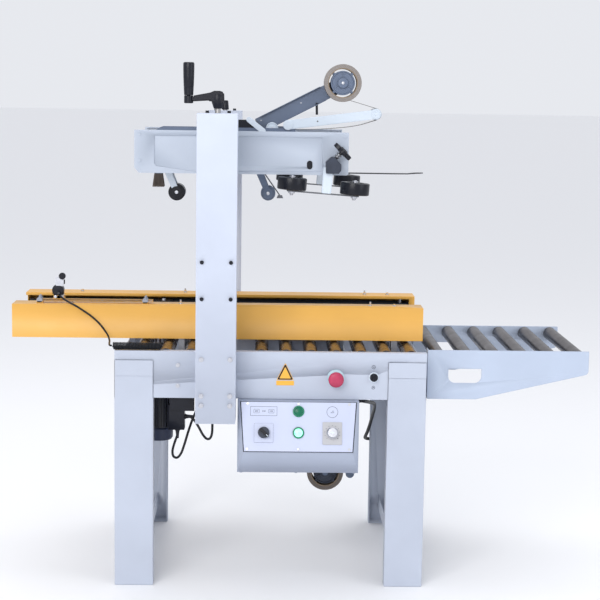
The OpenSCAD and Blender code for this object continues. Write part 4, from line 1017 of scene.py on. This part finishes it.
def makeTapingUnit():
    plates = bmesh.new()
    x0 = -364
    outline = [(x0 + 20, headLow + 8), (60, headLow + 8), (60, headTop + 6), (x0 + 60, headTop + 6),
            (x0 + 20, headTop - 20)]
    for lowY, highY in ((-36, -32), (32, 36)):
        addPrism(plates, roundedOutline(outline, [6, 6, 3, 10, 10]), lowY, highY, 0.6)
    addPrism(plates, linkOutline(tension["x"], headTop - 12, tension["x"], tension["z"], 11), -35.8,
            -32.2, 0.5)
    for x, z in ((x0 + 100, headTop - 14), (20, headTop - 14)):
        addBar(plates, (x, -33, z), (x, 33, z), 5)
    finishPiece("unitPlates", plates, "head", ("reel_arm",), look="slate")
    arm = bmesh.new()
    rise = math.atan2(reel["z"] - headTop - 18, reel["x"] + 30)
    ca, sa = math.cos(rise), math.sin(rise)

    def along(u, v):
        return (-30 + u * ca - v * sa, headTop + 18 + u * sa + v * ca)
    body = [along(-14, -23), along(234, -22), along(248, 0), along(240, 17), along(-14, 19)]
    addPrism(arm, roundedOutline(body, [3, 12, 18, 8, 3]), 28, 31.8, 0.6)
    # folded stiffening lips along both long edges
    for v0, v1 in ((-23, -21), (17, 19)):
        addPrism(arm, [along(2, v0), along(186, v0), along(186, v1), along(2, v1)], 19, 31, 0.5)
    addPrism(arm, [(-45, headTop - 60), (35, headTop - 60), (35, headTop + 10), (-45, headTop + 10)],
            28.2, 31.6, 0.5)
    finishPiece("reelArm", arm, "head", look="slate")
    marks = bmesh.new()
    addTurned(marks, (*along(0, 8)[:1], 27.2, along(0, 8)[1]), (0, -1, 0), [(1.6, -1), (1.6, 0.6), (0,
            0.7)], segments=14)
    addTurned(marks, (along(120, 2)[0], 27.6, along(120, 2)[1]), (0, -1, 0), [(1.8, -1), (1.8, 0.5), (0,
            0.6)], segments=14)
    addTurned(marks, (reel["x"], -28, reel["z"]), (0, 1, 0), [(0, -2.4), (4.0, -2), (4.4, 0), (8, 0.2),
            (8, 57)], segments=28)
    addTurned(marks, (reel["x"], -26.4, reel["z"]), (0, -1, 0), [(13, 0), (13, 1.4), (7, 2)], index=1,
              segments=28)
    addTurned(marks, (-3, -31.9, headTop + 4), (0, 1, 0), [(4, 0), (4, 59.7)], segments=18)
    finishPiece("reelPins", marks, "head", materials=(looks["zinc"], looks["slate"]))
    strut = bmesh.new()
    addBar(strut, (120, 25, 1230), (119, 25, 1262), 3.4, chamfer=0.6)
    addBar(strut, (119, 25, 1256), (119, 30, 1256), 3)
    finishPiece("armStop", strut, "head", look="plastic")
    cover = bmesh.new()
    addPrism(cover, roundedOutline([(-104, headTop - 2), (-34, headTop - 2), (-34, headTop + 12), (-46,
            headTop + 24),
             (-104, headTop + 24)], [1, 1, 3, 4, 4]), -31.8, 27.8, 1.2)
    addBox(cover, (-98, -24, headTop + 23), (-60, 20, headTop + 27), 1.5)
    addTurned(cover, (-62, -30, headTop + 6), (0, -1, 0), [(4, -2), (4, 2.5), (3, 3)], segments=20)
    finishPiece("unitCover", cover, "head", look="plastic")
    bar = bmesh.new()
    addPrism(bar, linkOutline(-66, headTop + 28, -28, headTop - 2, 7.5), -44, -36.2, 1)
    addBar(bar, (-60, -36.4, headTop + 22), (-60, -31, headTop + 22), 4)
    finishPiece("guideBar", bar, "head", look="white")
    roller = bmesh.new()
    x, z = -3, headTop + 4
    addTurned(roller, (x, 0, z), (0, 1, 0), [(4.05, -30), (8, -30), (9, -27), (14, -27), (15.5, -30),
            (17, -29),
              (17, 25), (16, 26), (4.05, 26)], segments=44, closed=True)
    finishPiece("guideRoller", roller, "head", look="white")
    link = bmesh.new()
    outline = linkOutline(tension["x"], tension["z"], tension["endX"], tension["endZ"], 12.5, 12.5, 12)
    addPrism(link, outline, -42, -38, 1.1)
    finishPiece("tensionLink", link, "tension_arm", ("tension_arm",), look="white")
    ends = bmesh.new()
    x, z = tension["endX"], tension["endZ"]
    addTurned(ends, (x, 0, z), (0, 1, 0), [(0, -44.6), (4, -44.4), (5, -43), (9, -43), (9.6, -44), (12.2,
            -44),
              (12.6, -43), (12.6, -38), (6, -37.6), (6, -36), (14, -36), (15.4, -34), (15.4, 24), (14,
                  26), (5, 26)],
              segments=48)
    finishPiece("tensionRoller", ends, "tension_arm", look="white")
    x, z = tension["x"], tension["z"]
    pin = bmesh.new()
    addTurned(pin, (x, 0, z), (0, 1, 0), [(0, -47.6), (3.4, -47.4), (3.8, -46), (8.4, -46), (9, -45),
            (12.2, -45),
              (13.6, -44), (13.6, -42.6), (4.0, -42.5), (4.0, -34)], segments=44)
    addTurned(pin, (x, 0, z), (0, 1, 0), [(4.0, -45.0), (4.0, -34)], segments=24)
    finishPiece("tensionPivot", pin, "head", look="white")
    hole = bmesh.new()
    addTurned(hole, (120, -42, headTop + 26), (0, -1, 0), [(2.2, -0.6), (2.2, 0.35), (0, 0.4)],
            segments=16)
    finishPiece("tensionRivet", hole, "tension_arm", look="darkSteel")
    # dark rings at the steps of the pivot and the roller end stand in for shaded grooves: painted shade
    rings = bmesh.new()
    for rx, rz, y in ((tension["x"], tension["z"], -42.75), (tension["endX"], tension["endZ"], -43.2)):
        addShadeRing(rings, rx, rz, y, 10.6, 9.2, 0.7)
        addShadeRing(rings, rx, rz, y - 0.2 if rx < 100 else y, 13.4 if rx < 100 else 12.0,
                12.6 if rx < 100 else 11.3, 0.8)
    finishPiece("tensionShadeRings", rings, "tension_arm", look="darkSteel")
    brushHolder = bmesh.new()
    addBox(brushHolder, (-324, -25, headLow - 10), (-302, 25, headLow + 4), 1.5)
    addBox(brushHolder, (-322, -31.8, headLow + 3), (-312, 31.8, headLow + 14), 1)
    finishPiece("brushHolder", brushHolder, "head", look="slate")
    rows = []
    for i in range(brush["rows"]):
        for k in range(brush["columns"]):
            x, y = brush["x"] + i * brush["rowPitch"], brush["y"] + k * brush["columnPitch"]
            flare = (i - 4.5) / 4.5
            rows.append(((x, y, headLow - 10), (0.14 * flare, 0.10 * (k - 11.5) / 11.5, -1)))
    growOn("wiperBristles", *bristleTree, rows, {"Length": 0.037, "Radius": 0.0011, "Spread": 0.035,
            "Seed": 11},
           looks["bristle"], "head", "slate_paint")


def addArmSides(arm, px, pz, x, z):
    for lowY, highY in ((-29, -26), (26, 29)):
        addPrism(arm, linkOutline(px, pz, x, z, 10, 8, 10), lowY, highY, 0.8)
    addTurned(arm, (px, 0, pz), (0, 1, 0), [(5.2, -36), (6, -35.4), (6, -29), (11, -28.6), (11, 28.6),
            (6, 29), (6, 35.4),
              (5.2, 36)], segments=32)


def makeTapeArm(px, wheel, body, node, tag, linkLook, wheelLook, rimLook):
    x, z = px + 38, headLow + 30 - 90
    pz = headLow + 30
    arm = bmesh.new()
    addArmSides(arm, px, pz, x, z)
    finishPiece("tapeArm" + tag, arm, body, (node,),
                materials=(linkLook,))
    tyre = bmesh.new()
    addTurned(tyre, (x, 0, z), (0, 1, 0), [(wheel * 0.66, -25.5), (wheel - 2, -25.5), (wheel, -23.5),
            (wheel, 23.5),
              (wheel - 2, 25.5), (wheel * 0.66, 25.5)], segments=52, closed=True)
    finishPiece("tapeWheel" + tag, tyre, body, materials=(wheelLook,))
    rim = bmesh.new()
    addTurned(rim, (x, 0, z), (0, 1, 0), [(0, -31), (4.4, -30.6), (5, -29.8), (5, -26), (7, -25.6), (8,
            -23),
              (wheel * 0.67, -23), (wheel * 0.67, 23), (8, 23), (7, 25.6), (5, 26), (5, 29.8), (4.4,
                  30.6), (0, 31)],
              segments=44)
    finishPiece("tapeRim" + tag, rim, body, materials=(rimLook,))
    caps = bmesh.new()
    for end in (-1, 1):
        addTurned(caps, (x, end * 29.1, z), (0, end, 0), [(5.1, 0), (wheel * 0.72, 0), (wheel * 0.7,
                1.0), (5.1, 1.3)],
                  segments=40, closed=True)
    finishPiece("tapeCaps" + tag, caps, body, materials=(wheelLook,))


# the film from the roll over the tension roller and back under it
def makeTapePath():
    def strip(name, points, start, end, half=24.0):
        build = bmesh.new()
        path = smoothPath([(x, 0, z) for x, z in points], 6)
        rows = []
        for i, p in enumerate(path):
            t = (path[min(i + 1, len(path) - 1)] - path[max(i - 1, 0)]).normalized()
            n = Vector((-t.z, 0, t.x)) * 0.5
            rows.append([build.verts.new(q) for q in (p + n + Vector((0, -half, 0)), p + n + Vector((0,
                    half, 0)),
                                                     p - n + Vector((0, half, 0)), p - n + Vector((0,
                                                         -half, 0)))])
        skinRings(build, rows)
        bmesh.ops.recalc_face_normals(build, faces=build.faces)
        piece = finishPiece(name, build, None, look="tapeFilm")
        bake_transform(piece)
    ex, ez = tension["endX"], tension["endZ"]
    a = math.radians(62)
    strip("tapeRunUpper", [(reel["x"] + 51.2 * math.cos(-1.15), reel["z"] + 51.2 * math.sin(-1.15)),
                           (238, 1262), (ex + 15.8 * math.cos(a), ez + 15.8 * math.sin(a))], 209, 279)
    strip("tapeRunLower", [(ex + 3, ez - 15.8), (262, 1212), (235, 1204), (200, 1198), (150, 1193), (100,
            1190.5),
                           (60, 1190.2), (30, 1190.4), (8, 1191)], 60, 279)


makeRoll("upperRoll", "upper_tape_roll", "tape_roll_upper", reel["x"], reel["z"], looks["tapeUpper"],
        looks["slate"])
makeTapingUnit()
makeTapeArm(-300, 23, "front_tape_arm", "front_tape_arm", "Front", looks["white"], looks["rubber"],
        looks["zinc"])
makeTapeArm(-50, 20, "rear_tape_arm", "rear_tape_arm", "Rear", looks["slate"], looks["slate"],
        looks["zinc"])
cutter = bmesh.new()
addBar(cutter, (-50, 30.2, headLow + 30), (20, 30.2, headLow - 68), 1.7)
addPrism(cutter, [(12, headLow - 76), (30, headLow - 76), (27, headLow - 68), (15, headLow - 68)], 18,
        30.2, 0.5)
finishPiece("cutterRod", cutter, "rear_tape_arm", look="darkSteel")
makeTapePath()
print("taping unit made")

# side compression rollers and the ski
press = {"x": (50.0, 215.0), "y": 205.0, "z": headLow - 28, "tilt": 4.0, "radius": 38.5, "tall": 32.0}


def onBar(side, point):
    mid = sum(press["x"]) / 2
    a = math.radians(press["tilt"])
    x, y, z = point
    return Vector((mid + x * math.cos(a) + z * math.sin(a), side * press["y"] + y,
                   press["z"] - x * math.sin(a) + z * math.cos(a)))


def makePress():
    a = math.radians(press["tilt"])
    axis = (math.sin(a), 0, math.cos(a))
    mid = sum(press["x"]) / 2
    half = press["tall"] / 2
    bars, clamps, blocks = bmesh.new(), bmesh.new(), bmesh.new()
    for side in (-1, 1):
        def slopedBox(build, low, high, bevel):
            before = set(build.verts[:])
            addBox(build, low, high, bevel)
            for v in [v for v in build.verts if v not in before]:
                v.co = onBar(side, v.co)
        slopedBox(bars, (-95, -10, -half - 5), (95, 10, -half - 2), 0.8)
        for x in press["x"]:
            u = x - mid
            addTurned(bars, onBar(side, (u, 0, 0)), axis, [(0, -half - 15), (3.5, -half - 14.6), (6,
                    -half - 9.5),
                      (8.6, -half - 9), (9, -half - 8), (9, -half - 5), (5.95, -half - 4.8), (5.95,
                          half + 1.8),
                      (8, half + 2), (8, half + 4), (4, half + 4.4), (4, half + 6)], index=1, segments=28)
        slopedBox(clamps, (-4, -12.5, -half - 2), (21, 12.5, 50), 1.6)
        y0, y1 = sorted((side * 190.2, side * 232.2))
        addPrism(blocks, roundedOutline([(137.5, headLow + 6), (171, headLow + 6), (177, headLow + 14),
                (177, headLow + 30),
                 (160, headLow + 49), (152, headLow + 49), (137.5, headLow + 36)], 2.5), y0, y1, 1.4)
    finishPiece("pressBars", bars, "head", ("compression_bars",),
                materials=(looks["darkSteel"], looks["zinc"]))
    finishPiece("clampTubes", clamps, "head", look="white")
    finishPiece("clampBlocks", blocks, "head", look="plasticDark")
    for tag, k, side in (("front_in", 0, -1), ("front_out", 1, -1), ("rear_in", 0, 1), ("rear_out", 1,
            1)):
        r = press["radius"]
        build = bmesh.new()
        addTurned(build, onBar(side, (press["x"][k] - mid, 0, 0)), axis, [(6.05, -half + 1), (14,
                -half + 1), (15, -half),
                  (r - 2.5, -half), (r - 0.4, -half + 1.4), (r, -half + 3), (r, half - 3), (r - 0.4,
                      half - 1.4),
                  (r - 2.5, half), (24, half), (22, half - 2), (12, half - 2), (11, half), (6.05, half)],
                  segments=64, closed=True)
        finishPiece("pressRoller_" + tag, build, "press_roller_" + tag,
                ("press_roller_" + tag,),
                    look="rubber")
    ski = bmesh.new()
    # thin strip that bends up a little before its pointed tip
    stations = [(80, 14, 0), (200, 13, 0), (330, 11, -0.6), (372, 9, -0.2), (384, 12, 2.2), (392, 16,
            3.4), (399, 14, 4.2),
                (414, 0.6, 4.6)]
    rows = []
    for x, wide, bend in stations:
        z = headLow - 4 + bend * 0.55
        rows.append([ski.verts.new(p) for p in ((x, -wide, z), (x, wide, z), (x, wide, z + 2.6), (x,
                -wide, z + 2.6))])
    skinRings(ski, rows)
    bmesh.ops.recalc_face_normals(ski, faces=ski.faces)
    finishPiece("flapSki", ski, "head", look="rubber")
    hanger = bmesh.new()
    addPrism(hanger, roundedOutline([(184, headLow - 1), (200, headLow - 1), (200, headLow + 38), (184,
            headLow + 38)], 2),
             -13, 13, 0.8)
    finishPiece("skiHanger", hanger, "head", look="head")


knobSize = {"radius": 22.5, "lobe": 5.5, "steps": 96, "x": 157, "y": 220, "z": headLow + 40}


def knobPlace(side):
    return knobSize["x"], side * knobSize["y"], knobSize["z"]


# four-lobed hand knob on a 45 degree stem
def addKnob(build, centre):
    axis = Vector((1, 0, 1)).normalized()
    side = Vector((0, 1, 0))
    other = axis.cross(side)
    centre = Vector(centre)
    outline = []
    for k in range(knobSize["steps"]):
        a = 2 * math.pi * k / knobSize["steps"]
        r = knobSize["radius"] + knobSize["lobe"] * math.cos(4 * a)
        outline.append((r * math.cos(a), r * math.sin(a)))
    rings = []
    for scale, h in ((0.9, 27), (1.0, 28.5), (1.0, 37.5), (0.9, 39), (0.45, 39)):
        rings.append([build.verts.new(centre + axis * h + side * (p * scale) + other * (q * scale)) for p, q in outline])
    skinRings(build, rings)
    addTurned(build, centre, axis, [(5, 8), (5, 26), (11, 26), (11, 40), (9, 41.5)], segments=28)
    bmesh.ops.recalc_face_normals(build, faces=build.faces)


makePress()
for side, body, node, name in ((-1, "clamp_knob", "clamp_knob", "clampKnobFront"), (1, "head", None,
        "clampKnobRear")):
    build = bmesh.new()
    addKnob(build, knobPlace(side))
    finishPiece(name, build, body, (node,) if node else (), look="plastic")
    nut = bmesh.new()
    addTurned(nut, Vector(knobPlace(side)), (1, 0, 1), [(7.5, 12), (7.5, 15), (5.2, 15.2), (5.2, 19),
              (8, 19.4), (8, 22)], segments=24)
    finishPiece(name + "Washers", nut, body, look="darkSteel")
print("compression made")

# controls
stopPlace, selectorPlace = (168, bedTop - 67), (267, bedTop - 64)
panelSize = {"u": 72.0, "tilt": 16.0, "tall": 128.0, "y": 345 + 6 + 64 * math.sin(math.radians(16)),
             "z": 500 - 64 * math.cos(math.radians(16))}


def onPanel(u, v, w=0.0):
    t = math.radians(panelSize["tilt"])
    return Vector((panelSize["u"] + u, -panelSize["y"] + v * math.sin(t) - w * math.cos(t),
                   panelSize["z"] + v * math.cos(t) + w * math.sin(t)))


panelOut = Vector((0, -math.cos(math.radians(16)), math.sin(math.radians(16))))


def addOnPanel(build, outline, low, high, bevel=0.0):
    before = set(build.verts[:])
    addPrism(build, outline, low, high, bevel, axis="Z")
    for v in [v for v in build.verts if v not in before]:
        v.co = onPanel(*v.co)


def addFrameOnPanel(build, outline, inner, low, high):
    rows = []
    for loop, w in ((outline, low), (outline, high), (inner, high), (inner, low)):
        rows.append([build.verts.new(onPanel(u, v, w)) for u, v in loop])
    skinRings(build, rows, closed=True)


def rectangle(u, v, width, height, radius=0.0):
    points = [(u - width / 2, v - height / 2), (u + width / 2, v - height / 2), (u + width / 2,
            v + height / 2),
              (u - width / 2, v + height / 2)]
    return roundedOutline(points, radius) if radius else points


def circle(u, v, radius, steps=40):
    return [(u + radius * math.cos(2 * math.pi * k / steps),
            v + radius * math.sin(2 * math.pi * k / steps))
            for k in range(steps)]


def makeControls():
    cadCopy("electrical_boxes", "controlBox", "root", (looks["box"], looks["plastic"],
            looks["box"]), 1.6,
            lambda low, high: 1 if high.x < -150 or high.z - low.z < 10 else (0 if high.x - low.x > 60 else 2),
            3)
    sheetPiece = bmesh.new()
    a, b = 280 / 2 - 1, 298 / 2 - 1
    addOnPanel(sheetPiece, [(-a - 2.2, -65.6), (a + 2.2, -65.6), (b + 2.4, 63.8), (-b - 2.4, 63.8)], 0.1,
            0.9)
    finishPiece("panelGasket", sheetPiece, "root", look="edgeInk")
    face = bmesh.new()
    addOnPanel(face, [(-a, -64), (a, -64), (b, 62.6), (-b, 62.6)], 0.5, 2.0, 0.3)
    finishPiece("panelFace", face, "root", ("control_panel",), look="panel")
    plates = bmesh.new()
    addOnPanel(plates, rectangle(-89, -17, 49, 49, 2), 2.0, 4.6, 0.8)
    finishPiece("modePlate", plates, "root", look="panel")
    plates = bmesh.new()
    addOnPanel(plates, rectangle(87, -17, 50, 58, 1.5), 2.0, 4.4, 0.7)
    finishPiece("dialPlate", plates, "root", look="plateGrey")
    ink = bmesh.new()
    for outline, inner in ((rectangle(-89.5, 39, 69, 24), rectangle(-89.5, 39, 67.4, 22.4)),
                           (circle(87, 38, 14.6), circle(87, 38, 13.7)),
                           (rectangle(-108, 39, 15, 10, 2), rectangle(-108, 39, 13.8, 8.8, 2)),
                           (rectangle(-70, 39, 15, 10, 2), rectangle(-70, 39, 13.8, 8.8, 2))):
        addFrameOnPanel(ink, outline, inner, 1.9, 2.12)
    for u in (-108, -89, -70):
        for k in range(3):
            addOnPanel(ink, rectangle(u - 3 + 3 * k, 39, 1.2, 4.5), 1.9, 2.12)
    addOnPanel(ink, rectangle(87, 36.5, 9, 1.2), 1.9, 2.12)
    addOnPanel(ink, rectangle(88.5, 40.5, 5, 1.2), 1.9, 2.12)
    for k in range(11):
        angle = math.radians(225 - 27 * k)
        u, v = 87 + 19.5 * math.cos(angle), -16 + 19.5 * math.sin(angle)
        addOnPanel(ink, circle(u, v, 0.8 if k < 10 else 1.3, 10), 4.3, 4.55)
    addFrameOnPanel(ink, rectangle(-89, -17, 49.6, 49.6, 2), rectangle(-89, -17, 48.6, 48.6, 2), 1.9, 2.3)
    finishPiece("panelPrint", ink, "root", look="ink")
    points = [(tuple(onPanel(u * 131, v * 58, 2.0)), tuple(panelOut)) for u in (-1, 0, 1) for v in (-1,
            1)]
    bolts("panelScrews", points, 2.8, 1.5, looks["zinc"], "root", sides=18, washer=1.35)
    # lamp rings and lenses
    rings = bmesh.new()
    for v in (39, -16):
        addTurned(rings, onPanel(0, v), panelOut, [(11.3, 2), (14.6, 2), (14.9, 3), (14.4, 5.4), (12.6,
                6.2), (11.3, 6.2)],
                  segments=44, closed=True)
    finishPiece("lampRings", rings, "root", look="ringGreen")
    for name, v, look, body, slotName in (("startButton", -16, "lit", "start_button", "lit_green"),
                                          ("stopButton", 39, "darkGreen", "stop_button", "dark_green")):
        build = bmesh.new()
        addTurned(build, onPanel(0, v), panelOut, [(9, -18), (10.9, -17.5), (11, 6), (10.6, 7.6), (8.6,
                8.6), (0, 9.2)],
                  segments=44)
        finishPiece(name, build, body, (body,), materials=(looks[look],))
    knob = bmesh.new()
    addTurned(knob, onPanel(-89, -16), panelOut, [(5, -18), (5, 5.6), (14.2, 5.6), (14.8, 6.4), (14.5,
            13), (13.2, 15.6),
              (0, 16.4)], segments=48)
    finishPiece("modeKnob", knob, "mode_knob", ("mode_knob",), look="plasticDark")
    grip = bmesh.new()
    addBox(grip, (-13.5, -4.2, 12), (16.5, 4.2, 23.6), 2.2)
    turn = Matrix.Rotation(math.radians(-45), 3, "Z")
    for v in grip.verts:
        v.co = onPanel(*((turn @ v.co) + Vector((-89, -16, 0))))
    finishPiece("modeGrip", grip, "mode_knob", look="plastic")
    pointer = bmesh.new()
    addBox(pointer, (9, -0.9, 23.2), (15.5, 0.9, 24.1), 0.3)
    for v in pointer.verts:
        v.co = onPanel(*((turn @ v.co) + Vector((-89, -16, 0))))
    finishPiece("modePointer", pointer, "mode_knob", look="white")
    dial = bmesh.new()
    addTurned(dial, onPanel(87, -16), panelOut, [(5, -18), (5, 5.0), (14.6, 5.0), (15.2, 6), (15, 9),
            (13.2, 10.5), (12.6, 21),
              (11.4, 22.2), (0, 22.4)], segments=56)
    finishPiece("dialKnob", dial, "dial_knob", ("dial_knob",), look="zinc")
    arrow = bmesh.new()
    addOnPanel(arrow, [(79.5, -15), (86, -15), (86, -12.5), (92.5, -16), (86, -19.5), (86, -17), (79.5,
            -17)], 22.1, 22.9)
    finishPiece("dialArrow", arrow, "dial_knob", look="white")
    # emergency stop, selector and sign on the bed's side plate
    stop = bmesh.new()
    sx, sz = stopPlace
    addTurned(stop, (sx, -320, sz), front, [(10.5, -16), (10.5, 17), (16, 18), (18.6, 19), (20, 23), (20,
            26), (18.6, 29),
              (15.5, 31), (0, 31.6)], segments=60)
    finishPiece("stopHead", stop, "estop_button", ("estop_button",), look="red")
    collar = bmesh.new()
    addTurned(collar, (sx, -320, sz), front, [(11.2, 0.1), (22.5, 0.1), (23, 1), (22, 3), (14.5, 4.4),
            (14, 10), (11.2, 10)],
              segments=52, closed=True)
    finishPiece("stopCollar", collar, "root", look="halo")
    x, z = selectorPlace
    switch = bmesh.new()
    addTurned(switch, (x, -320, z), front, [(5.9, -14), (5.9, 2), (10, 2.4), (10.4, 3.6), (10, 9), (8.6,
            11.2), (0, 11.6)],
              segments=40)
    addBox(switch, (x - 3, -336, z - 9), (x + 3, -330, z + 9), 1.4)
    finishPiece("selectorKnob", switch, "selector_switch", ("selector_switch",),
                look="plastic")
    ring = bmesh.new()
    addTurned(ring, (x, -320, z), front, [(10.8, 0.1), (13.4, 0.1), (13.4, 1.6), (12, 2.4), (10.8, 2.4)],
            segments=36, closed=True)
    finishPiece("selectorRing", ring, "root", look="white")
    signs = bmesh.new()
    for dz, radius in ((27, 5.0), (-27, 4.4)):
        addTurned(signs, (x - 1, -320, z + dz), front, [(radius - 1, 0.05), (radius, 0.05), (radius,
                0.3), (radius - 1, 0.3)],
                  segments=20, closed=True)
        addBox(signs, (x - 3, -320.35, z + dz - 0.8), (x + 1, -320.05, z + dz + 0.8))
    finishPiece("selectorMarks", signs, "root", look="ink")
    triangle = bmesh.new()
    addPrism(triangle, roundedOutline([(15, bedTop - 73), (59, bedTop - 73), (37, bedTop - 28)], 1.5),
            -320.9, -320.05)
    finishPiece("signTriangle", triangle, "root", look="sign")
    strip = bmesh.new()
    addPrism(strip, roundedOutline([(14, bedTop - 87), (60, bedTop - 87), (60, bedTop - 75), (14,
            bedTop - 75)], 1.2), -320.8, -320.05)
    finishPiece("signStrip", strip, "root", look="sign")
    edge = bmesh.new()
    outer = roundedOutline([(16.5, bedTop - 72), (57.5, bedTop - 72), (37, bedTop - 30)], 2.0)
    inner = roundedOutline([(22.0, bedTop - 69), (52.0, bedTop - 69), (37, bedTop - 38.2)], 1.2)
    rows = [[edge.verts.new((u, y, v)) for u, v in loop] for loop, y in ((outer, -320.85), (outer,
            -321.15), (inner, -321.15), (inner, -320.85))]
    skinRings(edge, rows, closed=True)
    bmesh.ops.recalc_face_normals(edge, faces=edge.faces)
    finishPiece("signBorder", edge, "root", look="edgeInk")


makeControls()
print("controls made")

# under the bed
def makeLowerUnit():
    cadCopy("lower_tape_frame", "lowerTapeFrame", "root", (looks["slate"], looks["zinc"]),
            0.6,
            lambda low, high: 1 if high.x - low.x < 30 and high.z - low.z < 30 else 0)
    px, pz = -120, bedTop - 52
    x, z = px + 38, pz + 65
    arm = bmesh.new()
    addArmSides(arm, px, pz, x, z)
    finishPiece("lowerArm", arm, "lower_tape_arm", ("lower_tape_arm",), look="slate")
    wheel = bmesh.new()
    addTurned(wheel, (x, 0, z), (0, 1, 0), [(0, -28.6), (4, -28.4), (4, -26), (16.5, -25.5), (18, -24),
            (18, 24), (16.5, 25.5),
              (4, 26), (4, 28.4), (0, 28.6)], segments=44)
    finishPiece("lowerWheel", wheel, "lower_tape_arm", look="rubber")
    makeRoll("lowerRoll", "lower_tape_roll", "tape_roll_lower", 157, bedTop - 123 - 267,
            looks["tapeLower"], looks["plasticDark"])
    glands = bmesh.new()
    addTurned(glands, (-224, -280, 444), (1, 0, 0), [(7, 0), (7, 3), (5.6, 4), (4.2, 14), (3.6, 22)],
            segments=20)
    addTurned(glands, (-243, -280, 412), (0, 0, -1), [(7, 0), (7, 5), (5.6, 6), (4.2, 16), (3.6, 26)],
            segments=20)
    addTurned(glands, (229, -170, 470), (1, 0, 0), [(10, 0), (10, 4), (8, 5), (6.6, 16), (5.6, 26)],
            segments=24)
    addTurned(glands, (344, 336, 218.6), (0, 0, 1), [(9, 0), (9, 5), (7, 6), (6, 16), (5.4, 22)],
            segments=24)
    finishPiece("cableGlands", glands, "root", look="plastic")


makeLowerUnit()
print("lower unit made")

# floor and light
floor = bmesh.new()
bmesh.ops.create_grid(floor, x_segments=1, y_segments=1, size=120)
floorMesh = bpy.data.meshes.new("floorSheet")
floor.to_mesh(floorMesh)
floor.free()
floorPiece = bpy.data.objects.new("floorSheet", floorMesh)
bpy.context.collection.objects.link(floorPiece)
floorPiece.location.z = -0.0005
floorLook, floorShader = startMaterial("floorPale", (0.93, 0.93, 0.94), 0.95)
floorMesh.materials.append(floorLook)


def addLight(name, at, target, size, power, colour=(1, 1, 1)):
    data = bpy.data.lights.new(name, "AREA")
    data.shape = "RECTANGLE"
    data.size, data.size_y = size
    data.energy = power
    data.color = colour
    lamp = bpy.data.objects.new(name, data)
    bpy.context.collection.objects.link(lamp)
    lamp.location = at
    lamp.rotation_euler = (Vector(target) - Vector(at)).to_track_quat("-Z", "Y").to_euler()


addLight("keySoft", (-1.5, -4.2, 2.5), (0, 0, 0.8), (2.6, 2.2), 105, (1.0, 0.99, 0.98))
addLight("fillSoft", (3.4, -2.8, 1.8), (0, 0, 0.7), (1.8, 1.8), 26, (0.9, 0.95, 1.0))
addLight("topSoft", (0.2, 0.9, 4.0), (0, 0, 0.6), (2.6, 1.8), 34)

scene = bpy.context.scene
scene.view_settings.view_transform = "Standard"
world = bpy.data.worlds.new("paleRoom")
scene.world = world
world.use_nodes = True
world.node_tree.nodes["Background"].inputs["Color"].default_value = (0.93, 0.95, 1.0, 1)
world.node_tree.nodes["Background"].inputs["Strength"].default_value = 0.86
print("stage made")
